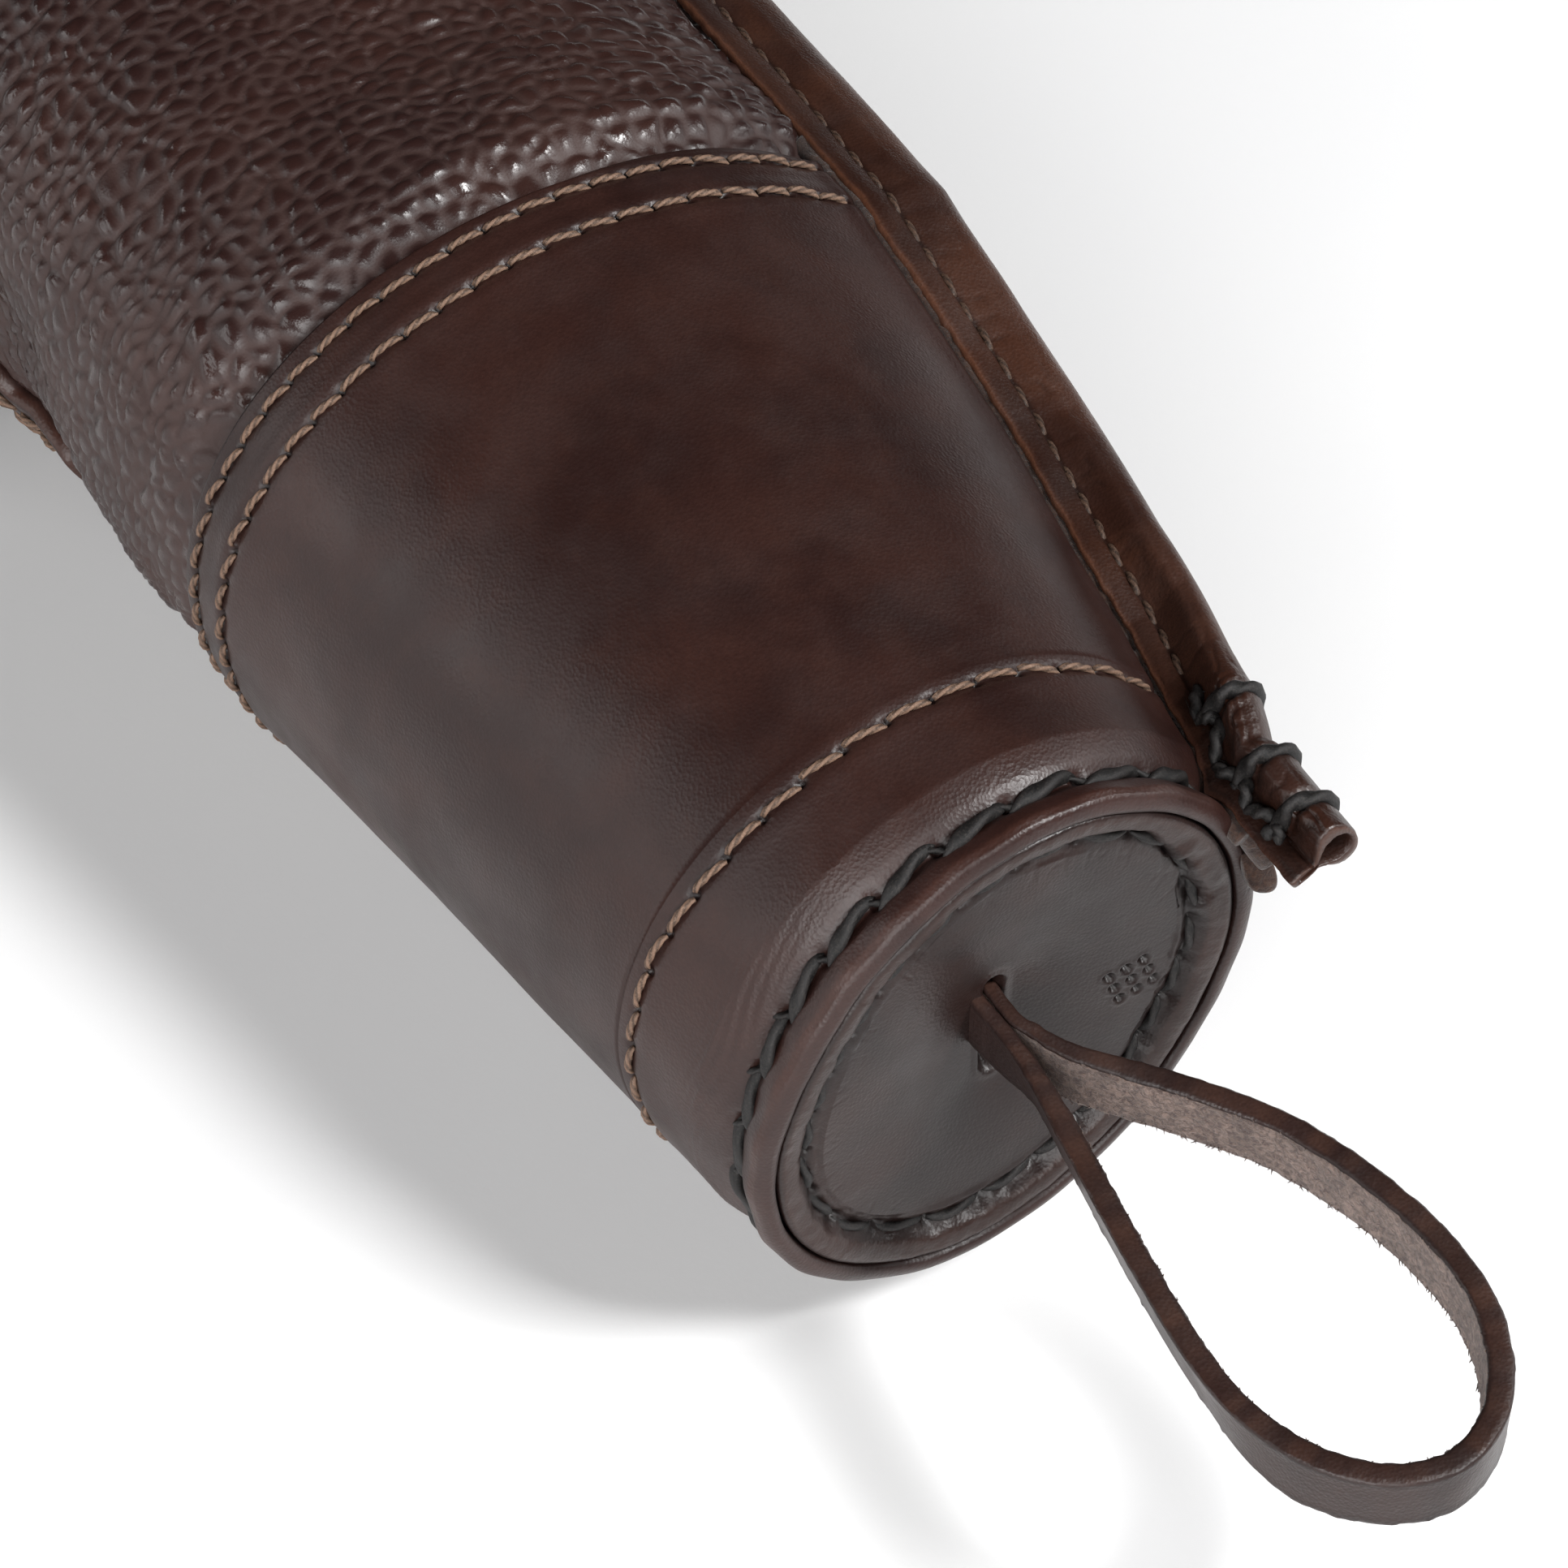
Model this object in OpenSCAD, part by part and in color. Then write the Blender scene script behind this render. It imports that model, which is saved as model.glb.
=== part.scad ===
// Tapered leather brush case with a full-length zip, a storm flap, a hanging loop and a side handle.
// It lies on its flat belly: +X points to the looped end, +Z is up, and the origin is the belly's centre.

/* [Case] */
// Length from rim to rim
case_len = 400; // [360:5:460]
// Width of the body, which lies a little flattened
body_w = 101; // [95:1:110]
// Height of the body's section before its belly is pressed flat
body_h = 85; // [80:1:90]
// Outer diameter of the looped end at its rim
cap_d = 64.2; // [58:0.1:70]
// Length of the smooth tapered sleeve at the looped end
taper_len = 97; // [80:1:120]
// Length of the smooth sleeve at the wide end
far_sleeve_len = 32; // [24:1:44]
// Leather thickness of sleeves and body
leather = 2.4; // [2:0.1:3]
// How deep the belly is pressed flat
belly_press = 2; // [1.5:0.1:3]
// Depth of each recessed end cap behind its rim
cap_recess = 5; // [3:0.5:8]

/* [Zip and flap] */
// Angle of the zip line, from the side (+Y) up towards the top
zip_angle = 32; // [25:1:45]
// Gap in the body leather that the zip closes
zip_gap = 12; // [10:0.5:14]
// Pitch of the zip teeth
tooth_pitch = 3; // [2.5:0.5:4]
// Distance from the zip line to the hinge line of the flap
flap_offset = 11; // [10.5:0.5:13]
// Width of the flap from its hinge line to the centre of its fold
flap_w = 12.5; // [12:0.5:14]
// Rise of the flap above the body's tangent
flap_rise = 35; // [33:1:45]

/* [Loop] */
// Length of the hanging loop outside the cap
loop_len = 76; // [60:1:85]
// Widest outside width of the loop
loop_w = 35; // [28:1:40]
// Strap width of the loop
loop_strap = 7.5; // [6:0.5:9]
// Strap thickness of the loop
loop_thick = 2.8; // [2:0.1:3.5]
// Sideways lean of the loop's centre line
loop_lean = 7.5; // [0:0.5:9]

/* [Handle] */
// Angle of the handle line, from +Y over the top to the other side and down
handle_angle = 190; // [185:1:195]
// Distance from the middle of the case to each handle ring
ring_x = 72; // [65:1:80]
// Diameter of the rolled handle
handle_d = 8.4; // [7:0.1:9]

/* [Hidden] */
$fn = 96;

side_r = body_h / 2;                    // radius of the body's rounded sides
side_w = body_w / 2 - side_r;           // their centres' distance from the middle
axis_h = side_r - belly_press;          // height of the case's centre line
end_x = 250;                            // rim plane of the looped end
far_x = end_x - case_len;               // rim plane of the wide end
band_x = end_x - taper_len;             // edge of the tapered sleeve
far_band_x = far_x + far_sleeve_len;    // edge of the far sleeve
cap_r = cap_d / 2;
band_r = side_r - 0.7;                  // radius of the sleeves where they meet the body
tape_t = 0.8;
lining_t = 1.2;
lining_gap = 18;
layer_gap = 0.1;
board_t = 1.5;
tape_r = side_r - leather - layer_gap;  // outer radius of the zip tape
lining_r = tape_r - tape_t - layer_gap; // outer radius of the lining
thread_r = 0.45;                        // hand-sewn linen thread
cord_r = 0.8;                           // thick waxed thread
stitch_len = 6.5;
rim_stitch_in = 5;                      // distance of the thick stitches from the rim
stitch_slant = 12;                      // lean of the thick stitches along the case
stitch_lift = 0.6;                      // gap under the thick stitches
taper_rows = [end_x - 19.7, end_x - 89.7, end_x - 94.6];
far_rows = [far_band_x - 3, far_band_x - 8];

zip_x0 = far_band_x + 2;
zip_x1 = band_x - 4;
tape_w = 9;
tooth_gap = 1.6;
tooth_len = 2.2;
tooth_h = 1.8;
teeth_z = tape_r - tape_t - 0.4;        // underside of the teeth
teeth_x0 = zip_x0 + 5;
teeth_x1 = zip_x1 - 6;
slide_gap = 0.3;
slider_l = 12;
slider_w = 10;
slider_x = teeth_x0 + slider_l / 2;     // closed place of the slider
web_t = 1;
ear_gap = 3.4;
ear_t = 1;
pin_r = 0.7;
pin_x = slider_x - 1;
pin_z = side_r + 2;
puller_len = 14;
puller_t = 1.4;
eye_x = -11;                            // the puller's eye, from its pin
eye_r = 1.6;
pull_len = 20;                          // leather tag on the puller
pull_w = 6.4;
pull_t = 1.6;
fold_t = 0.6;

flap_t = 3.6;
fold_r = 2.4;
flap_x0 = slider_x + slider_l / 2 + 4;
flap_hinge_r = sqrt(side_r * side_r - flap_offset * flap_offset) + flap_t / 2 + 0.35;
tied_angle = 36;                        // angle of the flap's tied end at the rim
tied_x = end_x + 10;
tied_root_r = cap_r + flap_t / 2 + 0.6;
tied_fold_r = cap_r + 7.5;
wrap_stations = [end_x - 8, end_x - 1, end_x + 6];
wrap_h = 13.5;
wrap_w = 6;
wrap_gap = 0.2;

hinge_x = end_x - cap_recess + 2.8;     // vertical bending line of the loop
root_clear = 0.6;                       // gap round the knuckle that the loop turns on
loop_root_t = 4.4;                      // both strap ends together, pressed thin

patch_x0 = 50;
patch_x1 = 115;
patch_w = 25;
patch_top = side_r + leather;
patch_stitch_angle = 10.5;
ring_t = 3;
ring_w = 13;
ring_leg = 2;
chape_w = 9;
ring_z = patch_top + ring_t / 2 + 1.7;
ring_h = axis_h + ring_z * sin(handle_angle);   // height of the ring's straight side
handle_bend = 9;

chocolate = [0.16, 0.09, 0.07];
pebble = [0.13, 0.07, 0.06];
russet = [0.22, 0.11, 0.07];
suede = [0.33, 0.22, 0.16];
black = [0.05, 0.05, 0.05];
linen = [0.42, 0.32, 0.24];
metal = [0.62, 0.52, 0.34];

// Space above a plane at height h over the surface it rests on
module above(h = 0) {
    translate([far_x - 20, -100, h]) cube([case_len + 40, 200, 200]);
}

// Section of the case: a circle drawn out sideways
module pill(r, w) {
    translate([-w, 0]) circle(r = r);
    translate([w, 0]) circle(r = r);
    translate([-w, -r]) square([2 * w, 2 * r]);
}

// Section pushed along the case between two stations
module slab(x0, x1) {
    translate([x0, 0, axis_h]) rotate([90, 0, 90]) linear_extrude(x1 - x0) children();
}

// Straight tube of the case with its belly pressed flat at height h
module tube(x0, x1, r, thickness, h = 0) {
    difference() {
        intersection() {
            slab(x0, x1) pill(r, side_w);
            above(h);
        }
        intersection() {
            slab(x0 - 1, x1 + 1) pill(r - thickness, side_w);
            above(h + thickness);
        }
    }
}

// Solid taper from the body's section at x0 to a circle at x1
module taper_solid(x0, r0, x1, r1) {
    hull() {
        slab(x0, x0 + 0.1) pill(r0, side_w);
        slab(x1 - 0.1, x1) circle(r = r1);
    }
}

// Tapered tube with its belly pressed flat at height h
module taper_tube(x0, r0, x1, r1, thickness, h = 0) {
    difference() {
        intersection() {
            taper_solid(x0, r0, x1, r1);
            above(h);
        }
        intersection() {
            taper_solid(x0 - 0.1, r0 - thickness, x1 + 0.1, r1 - thickness);
            above(h + thickness);
        }
    }
}

// Frame whose +Z points out of one rounded side at the given angle; side is 1, -1, or 0 for the centre line
module facing(angle, side) {
    translate([0, side * side_w, axis_h]) rotate([angle - 90, 0, 0]) children();
}

// Round rod along X
module rod(x0, x1, r, facets = 32) {
    translate([x0, 0, 0]) rotate([0, 90, 0]) cylinder(h = x1 - x0, r = r, $fn = facets);
}

// Radius and side offset of the taper at a station
function taper_r(x) = cap_r + (band_r - cap_r) * (end_x - x) / taper_len;
function taper_w(x) = side_w * (end_x - x) / taper_len;

/* Sleeves, body and lining */

module end_sleeve() {
    color(chocolate) taper_tube(band_x, band_r, end_x, cap_r, leather);
}

module far_sleeve() {
    color(chocolate) tube(far_x, far_band_x, band_r, leather);
}

module zip_slot(half_w, x0, x1) {
    facing(zip_angle, 1) translate([x0, -half_w, side_r / 2]) cube([x1 - x0, 2 * half_w, side_r]);
}

module body_panel() {
    color(pebble) difference() {
        tube(far_band_x, band_x, side_r, leather);
        zip_slot(zip_gap / 2, zip_x0, zip_x1);
    }
}

module lining() {
    x0 = far_x + cap_recess + leather + board_t + 1;
    x1 = end_x - cap_recess - leather - board_t - 1;
    h = side_r - lining_r;
    color(suede) difference() {
        union() {
            tube(x0, zip_x1, lining_r, lining_t, h);
            taper_tube(zip_x1, lining_r, x1, taper_r(x1) - leather - 1, lining_t, h);
        }
        zip_slot(lining_gap / 2, zip_x0, zip_x1 - 0.1);
    }
}

// One row of stitches, as a thin band lying on the leather
module stitch_row(x, r, w) {
    intersection() {
        slab(x - thread_r, x + thread_r) difference() {
            pill(r + 2 * thread_r, w);
            pill(r, w);
        }
        above(1);
    }
}

module sleeve_stitches() {
    color(linen) {
        for (x = taper_rows) stitch_row(x, taper_r(x) + 0.1, taper_w(x));
        for (x = far_rows) stitch_row(x, band_r, side_w);
    }
}

/* End caps */

// Saddle stitch lying round the case at radius r
module rim_stitch(x, r) {
    translate([x, 0, r + cord_r]) rotate([90, 0, stitch_slant])
        cylinder(h = stitch_len, r = cord_r, center = true, $fn = 16);
}

// The end cap is dished, with its edge turned outwards to meet the sleeve's edge
module end_cap() {
    in_r = cap_r - leather - layer_gap;
    face_x = end_x - cap_recess;
    color(chocolate) difference() {
        translate([0, 0, axis_h]) rotate([0, 90, 0]) rotate_extrude() polygon([
            [0, face_x - leather], [in_r, face_x - leather], [in_r, end_x],
            [in_r - leather, end_x], [in_r - leather - 1, face_x], [0, face_x + 1]
        ]);
        loop_slit();
    }
}

module loop_slit() {
    translate([end_x, 0, axis_h]) cube([40, loop_root_t + 0.2, loop_strap + 0.2], center = true);
}

module end_cap_board() {
    x1 = end_x - cap_recess - leather - layer_gap;
    color(suede) difference() {
        translate([0, 0, axis_h]) rod(x1 - board_t, x1, cap_r - leather - 2, 96);
        loop_slit();
    }
}

module end_rim_thread() {
    x = end_x - rim_stitch_in;
    count = 24;
    color(black) for (i = [0 : count - 1])
        facing(i * 360 / count, 0) rim_stitch(x, taper_r(x) + stitch_lift);
}

module far_cap() {
    in_r = band_r - leather - layer_gap;
    face_x = far_x + cap_recess;
    color(chocolate) intersection() {
        union() {
            slab(face_x, face_x + leather) pill(in_r, side_w);
            slab(far_x, face_x) difference() {
                pill(in_r, side_w);
                pill(in_r - leather, side_w);
            }
        }
        above(leather + layer_gap);
    }
}

module far_cap_board() {
    x0 = far_x + cap_recess + leather + layer_gap;
    color(suede) intersection() {
        slab(x0, x0 + board_t) pill(band_r - leather - 1, side_w);
        above(leather + 1);
    }
}

module far_rim_thread() {
    x = far_x + rim_stitch_in;
    turn = 11;
    color(black) for (side = [-1, 1]) {
        for (i = [-6 : 7]) facing(90 - side * (90 - i * turn), side) rim_stitch(x, band_r);
        translate([0, side * side_w / 2, axis_h]) rim_stitch(x, band_r);
    }
}

/* Hanging loop */

// Point on a cubic curve through its four control points
function cubic(p, t) = pow(1 - t, 3) * p[0] + 3 * pow(1 - t, 2) * t * p[1]
    + 3 * (1 - t) * t * t * p[2] + pow(t, 3) * p[3];

// Teardrop outline, its tip at the root; inset moves it inwards
function teardrop(inset) = let (
        n = 14,
        r = loop_w / 2 - inset,
        cx = loop_len - loop_w / 2,
        tip = inset == 0 ? -0.2 : inset * 4,
        half = inset == 0 ? loop_root_t / 2 : 0.1,
        ends = [[tip, -half], [cx * 0.35, -half - r * 0.2], [cx * 0.6, -r], [cx, -r]],
        right = [for (i = [0 : n - 1]) cubic(ends, i / n)],
        turn = [for (i = [0 : 2 * n]) -90 + 90 * i / n],
        nose = [for (a = turn) [cx + r * cos(a), r * sin(a)]]
    ) concat(right, nose, [for (i = [n - 1 : -1 : 0]) [right[i][0], -right[i][1]]]);

// The strap lies level, doubled back to its root in the cap
module hanging_loop() {
    color(chocolate) translate([hinge_x, 0, axis_h - loop_strap / 2]) rotate([0, 0, loop_lean])
        difference() {
            linear_extrude(loop_strap) difference() {
                polygon(teardrop(0));
                polygon(teardrop(loop_thick));
            }
            translate([0, 0, -1]) cylinder(h = loop_strap + 2, r = loop_root_t / 2 + root_clear);
        }
}

// Both strap ends pass through the slit in the cap and end in the round bend that the loop turns on
module loop_root() {
    inner_x = end_x - cap_recess - leather - board_t - 2 * layer_gap;
    color(chocolate) translate([0, 0, axis_h - loop_strap / 2]) {
        translate([inner_x, -loop_root_t / 2, 0]) cube([hinge_x - inner_x, loop_root_t, loop_strap]);
        translate([hinge_x, 0, 0]) cylinder(h = loop_strap, r = loop_root_t / 2);
    }
}

module loop_washer() {
    x1 = end_x - cap_recess - leather - board_t - 2 * layer_gap;
    color(suede) translate([0, 0, axis_h]) rod(x1 - 2, x1, 9);
}

/* Zip */

// Strip bent to the body's curve: from one side of the zip line to the other, at the given radii
module curved_strip(x0, x1, y0, y1, r0, r1) {
    intersection() {
        difference() {
            rod(x0, x1, r1, 96);
            rod(x0 - 1, x1 + 1, r0, 96);
        }
        translate([x0, y0, 0]) cube([x1 - x0, y1 - y0, 2 * side_r]);
    }
}

module zip_tape(side) {
    near = tooth_gap / 2 + tooth_len;
    color(black) facing(zip_angle, 1) mirror([0, side < 0 ? 1 : 0, 0])
        curved_strip(zip_x0 - 2, zip_x1 + 2, near, near + tape_w, tape_r - tape_t, tape_r);
}

module zip_teeth(side) {
    shift = side < 0 ? tooth_pitch / 2 : 0;
    color(metal) facing(zip_angle, 1) mirror([0, side < 0 ? 1 : 0, 0])
        for (x = [teeth_x0 + shift : tooth_pitch : teeth_x1])
            translate([x, tooth_gap / 2, teeth_z]) cube([tooth_pitch * 0.55, tooth_len, tooth_h]);
}

module zip_stop(x) {
    color(metal) facing(zip_angle, 1) translate([x, -tooth_len, teeth_z]) cube([3, 2 * tooth_len, tooth_h]);
}

module zip_tape_upper() { zip_tape(-1); }
module zip_tape_lower() { zip_tape(1); }
module zip_teeth_upper() { zip_teeth(-1); }
module zip_teeth_lower() { zip_teeth(1); }
module zip_end_stop() { zip_stop(teeth_x1 + 2); }
module zip_closed_stop() { zip_stop(teeth_x0 - 4); }

// Two plates with the teeth between them, joined by a thin web, and two ears for the puller's pin
module zip_slider() {
    top_z = teeth_z + tooth_h + slide_gap;
    base_z = teeth_z - slide_gap - 1;
    color(metal) facing(zip_angle, 1) difference() {
        union() {
            translate([slider_x - slider_l / 2, -slider_w / 2, top_z]) cube([slider_l, slider_w, 1.2]);
            translate([slider_x - slider_l / 2, -slider_w / 2, base_z]) cube([slider_l, slider_w, 1]);
            translate([slider_x - 3, -web_t / 2, base_z]) cube([6, web_t, top_z - base_z + 1]);
            for (side = [-1, 1])
                translate([pin_x - 1.6, side * (ear_gap / 2 + ear_t / 2) - ear_t / 2, top_z])
                    cube([3.2, ear_t, pin_z - top_z + 1.5]);
        }
        translate([pin_x, 0, pin_z]) rotate([90, 0, 0]) cylinder(h = 20, r = pin_r, center = true);
    }
}

module slider_pin() {
    color(metal) facing(zip_angle, 1) translate([pin_x, 0, pin_z])
        rotate([90, 0, 0]) cylinder(h = ear_gap + 2 * ear_t, r = pin_r, center = true);
}

module zip_puller() {
    neck_w = ear_gap - 0.4;
    color(metal) facing(zip_angle, 1) translate([pin_x, 0, pin_z]) difference() {
        union() {
            rotate([90, 0, 0]) cylinder(h = neck_w, r = 1.5, center = true);
            translate([-8, -neck_w / 2, -puller_t / 2]) cube([8, neck_w, puller_t]);
            translate([-puller_len, -3, -puller_t / 2]) cube([7, 6, puller_t]);
        }
        rotate([90, 0, 0]) cylinder(h = 20, r = pin_r + 0.07, center = true);
        translate([eye_x, 0, 0]) cylinder(h = 10, r = eye_r, center = true);
    }
}

// Leather tag held through the eye of the puller, with its end folded over the puller's plate
module leather_pull() {
    end = -puller_len - 0.1;
    color(russet) facing(zip_angle, 1) translate([pin_x, 0, pin_z]) {
        translate([eye_x, 0, 0]) cylinder(h = puller_t, r = eye_r - 0.1, center = true);
        translate([end - pull_len, -pull_w / 2, -pull_t / 2]) cube([pull_len, pull_w, pull_t]);
        translate([end, -pull_w / 2, puller_t / 2]) cube([6, pull_w, fold_t]);
        translate([end - 0.5, -pull_w / 2, 0]) cube([0.6, pull_w, puller_t / 2 + fold_t]);
    }
}

/* Flap */

// Children are drawn in the flap's own frame: hinge line at the origin, X along the case
module at_flap_hinge() {
    facing(zip_angle, 1) translate([0, -flap_offset, flap_hinge_r]) children();
}

// Flap section: a plate from the hinge line to a rounded fold
module flap_section(w, rise) {
    rotate(rise) union() {
        circle(r = flap_t / 2, $fn = 32);
        translate([0, -flap_t / 2]) square([w, flap_t]);
        translate([w, 0]) circle(r = fold_r, $fn = 32);
    }
}

module flap_panel() {
    color(russet) at_flap_hinge() translate([flap_x0, 0, 0]) rotate([90, 0, 90])
        linear_extrude(band_x - 0.5 - flap_x0) flap_section(flap_w, flap_rise);
}

module flap_stitches() {
    color(linen) at_flap_hinge() rotate([flap_rise, 0, 0]) translate([0, 3, flap_t / 2 + thread_r])
        rod(flap_x0 + 3, band_x - 3, thread_r, 16);
}

// Beyond the body the flap follows the taper and is tied down, narrowing to the rim
module flap_tied_end() {
    color(russet) hull() {
        at_flap_hinge() rotate([flap_rise, 0, 0]) {
            rod(band_x, band_x + 1, flap_t / 2);
            translate([0, flap_w, 0]) rod(band_x, band_x + 1, fold_r);
        }
        facing(tied_angle, 0) {
            translate([0, 0, tied_root_r]) rod(tied_x - 1, tied_x, flap_t / 2);
            translate([0, 1, tied_fold_r]) rod(tied_x - 1, tied_x, fold_r);
        }
    }
}

// Ring of thread round the tied flap at one station
module wrap(x) {
    facing(tied_angle, 0) translate([x, 0.5, (tied_root_r + tied_fold_r) / 2 + 0.12 * (end_x - x)])
        rotate([0, 90, 0]) linear_extrude(2 * cord_r, center = true) difference() {
            square([wrap_h + 2 * cord_r, wrap_w + 2 * cord_r], center = true);
            square([wrap_h, wrap_w], center = true);
        }
}

// Over the sleeve the wraps are arches whose feet stop just above the leather; past the rim they close
module flap_wraps() {
    color(black) for (x = wrap_stations) {
        low_x = x - cord_r;
        difference() {
            wrap(x);
            if (x + cord_r < end_x)
                slab(low_x - 1, x + cord_r + 1) pill(taper_r(low_x) + wrap_gap, taper_w(low_x));
        }
    }
}

/* Handle */

module handle_patch(dir) {
    x0 = dir > 0 ? patch_x0 : -patch_x1;
    color(chocolate) facing(handle_angle, -1)
        curved_strip(x0, x0 + patch_x1 - patch_x0, -patch_w / 2, patch_w / 2, side_r, side_r + leather);
}

module patch_stitches() {
    color(linen) for (dir = [-1, 1], side = [-1, 1])
        facing(handle_angle, -1) rotate([side * patch_stitch_angle, 0, 0])
            translate([dir > 0 ? 0 : -patch_x0 - patch_x1, 0, side_r + leather + thread_r])
                rod(patch_x0 + 3, patch_x1 - 3, thread_r, 16);
}

// Leather loop that holds the straight side of a ring against the patch
module handle_chape(dir) {
    color(chocolate) facing(handle_angle, -1) translate([dir * ring_x, 0, ring_z]) difference() {
        union() {
            rod(-chape_w / 2, chape_w / 2, ring_t / 2 + 1.6);
            translate([-chape_w / 2, 0, -(ring_z - patch_top)]) cube([chape_w, 7, 2.2]);
        }
        rod(-chape_w, chape_w, ring_t / 2 + 0.06, 48);
        translate([0, 0, -(ring_z - patch_top) - 4]) cube([2 * chape_w, 30, 8], center = true);
    }
}

// Hanging frame at one ring: origin on the ring's straight side, -Z down
module at_ring(dir) {
    facing(handle_angle, -1) translate([dir * ring_x, 0, ring_z]) rotate([90 - handle_angle, 0, 0]) children();
}

module handle_ring(dir) {
    half = ring_w / 2;
    color(metal) at_ring(dir) {
        rod(-half, half, ring_t / 2);
        for (side = [-1, 1]) translate([side * half, 0, -ring_leg]) {
            cylinder(h = ring_leg, r = ring_t / 2, $fn = 32);
            translate([0, 0, ring_leg]) sphere(r = ring_t / 2, $fn = 32);
        }
        translate([0, 0, -ring_leg]) rotate([90, 0, 0])
            rotate_extrude(angle = -180) translate([half, 0]) circle(r = ring_t / 2, $fn = 32);
    }
}

// Rolled leather bail between the two rings
module rolled_handle() {
    r = handle_d / 2;
    top = -ring_leg - ring_w / 2 + ring_t;
    grip_z = r + 2.2 - ring_h;
    straight = ring_x - handle_bend;
    color(chocolate) for (dir = [-1, 1]) {
        at_ring(dir) translate([0, 0, grip_z + handle_bend])
            cylinder(h = top - grip_z - handle_bend, r = r, $fn = 48);
        at_ring(dir) translate([-dir * handle_bend, 0, grip_z + handle_bend]) rotate([90, 0, 0])
            rotate([0, 0, dir > 0 ? -90 : 180])
                rotate_extrude(angle = 90) translate([handle_bend, 0]) circle(r = r, $fn = 48);
    }
    color(chocolate) at_ring(1) translate([-ring_x, 0, grip_z]) rod(-straight, straight, r, 48);
}

module handle_patch_front() { handle_patch(1); }
module handle_patch_rear() { handle_patch(-1); }
module handle_chape_front() { handle_chape(1); }
module handle_chape_rear() { handle_chape(-1); }
module handle_ring_front() { handle_ring(1); }
module handle_ring_rear() { handle_ring(-1); }

end_sleeve();
body_panel();
far_sleeve();
lining();
sleeve_stitches();
end_cap();
end_cap_board();
end_rim_thread();
loop_root();
loop_washer();
far_cap();
far_cap_board();
far_rim_thread();
zip_tape_upper();
zip_tape_lower();
zip_teeth_upper();
zip_teeth_lower();
zip_end_stop();
zip_closed_stop();
flap_tied_end();
flap_wraps();
handle_patch_front();
handle_patch_rear();
handle_chape_front();
handle_chape_rear();
patch_stitches();
flap_panel();
flap_stitches();
zip_slider();
slider_pin();
zip_puller();
leather_pull();
hanging_loop();
handle_ring_front();
handle_ring_rear();
rolled_handle();
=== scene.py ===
import math

import bpy
import numpy as np
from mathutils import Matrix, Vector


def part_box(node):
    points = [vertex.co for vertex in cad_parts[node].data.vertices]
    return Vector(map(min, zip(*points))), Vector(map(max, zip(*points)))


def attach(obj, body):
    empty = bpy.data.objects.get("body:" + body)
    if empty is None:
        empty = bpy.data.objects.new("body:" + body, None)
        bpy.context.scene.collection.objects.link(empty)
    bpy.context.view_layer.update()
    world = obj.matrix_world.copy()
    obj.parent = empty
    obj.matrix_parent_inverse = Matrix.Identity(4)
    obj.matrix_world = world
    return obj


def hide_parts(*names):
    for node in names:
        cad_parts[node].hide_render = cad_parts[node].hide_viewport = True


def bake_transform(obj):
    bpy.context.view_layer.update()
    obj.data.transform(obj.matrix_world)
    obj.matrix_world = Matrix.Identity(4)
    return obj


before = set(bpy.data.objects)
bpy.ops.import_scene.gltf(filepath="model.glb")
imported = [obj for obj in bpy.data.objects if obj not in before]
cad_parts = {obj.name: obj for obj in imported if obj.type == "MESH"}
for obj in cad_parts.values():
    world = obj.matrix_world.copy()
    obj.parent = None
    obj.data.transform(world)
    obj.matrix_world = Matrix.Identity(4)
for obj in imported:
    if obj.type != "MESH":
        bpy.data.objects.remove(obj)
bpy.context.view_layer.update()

# ---------------------------------------------------------------- sizes, mm
MM = 0.001
AXIS_H = 40.5
RIM_X = round(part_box("end_sleeve")[1].x / MM, 1)
FAR_X = round(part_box("far_sleeve")[0].x / MM, 1)
FAR_BAND = round(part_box("far_sleeve")[1].x / MM, 1)
SIDE_R = 42.5
SIDE_W = 8.0
LEATHER = 2.2
SLEEVE_EDGE = 102.6
RING_S1 = 19.8
RING_A = 94.0
RING_B = 100.3
FAR_EDGE = RIM_X - FAR_BAND
LENGTH = RIM_X - FAR_X
DEG = math.pi / 180


# ---------------------------------------------------------------- numbers
def smooth(t):
    t = np.clip(t, 0.0, 1.0)
    return t * t * (3 - 2 * t)


def bell(x, centre, width):
    return np.exp(-(((x - centre) / width) ** 2))


def lattice(i, j, k, seed):
    """A fixed number from 0 to 1 for each point of a whole-number lattice."""
    h = (
        i.astype(np.int64) * 374761393
        + j.astype(np.int64) * 668265263
        + k.astype(np.int64) * 2147483647
        + seed * 1274126177
    ).astype(np.uint64)
    h = (h ^ (h >> np.uint64(13))) * np.uint64(1274126177)
    h = (h ^ (h >> np.uint64(16))) * np.uint64(2246822519)
    return ((h >> np.uint64(11)) & np.uint64(0xFFFFF)).astype(float) / float(0xFFFFF)


def noise(p, size, seed=0, octaves=1):
    """Smooth noise from about -1 to 1 at points p, mm, whose largest features are size mm."""
    total = np.zeros(p.shape[:-1])
    gain, norm = 1.0, 0.0
    for o in range(octaves):
        q = p / (size / 2**o)
        base = np.floor(q)
        f = smooth(q - base)
        b = base.astype(np.int64)
        value = np.zeros(p.shape[:-1])
        for di in (0, 1):
            for dj in (0, 1):
                for dk in (0, 1):
                    w = (
                        (f[..., 0] if di else 1 - f[..., 0])
                        * (f[..., 1] if dj else 1 - f[..., 1])
                        * (f[..., 2] if dk else 1 - f[..., 2])
                    )
                    value += w * lattice(b[..., 0] + di, b[..., 1] + dj, b[..., 2] + dk, seed + o)
        total += gain * (2 * value - 1)
        norm += gain
        gain *= 0.5
    return total / norm


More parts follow.
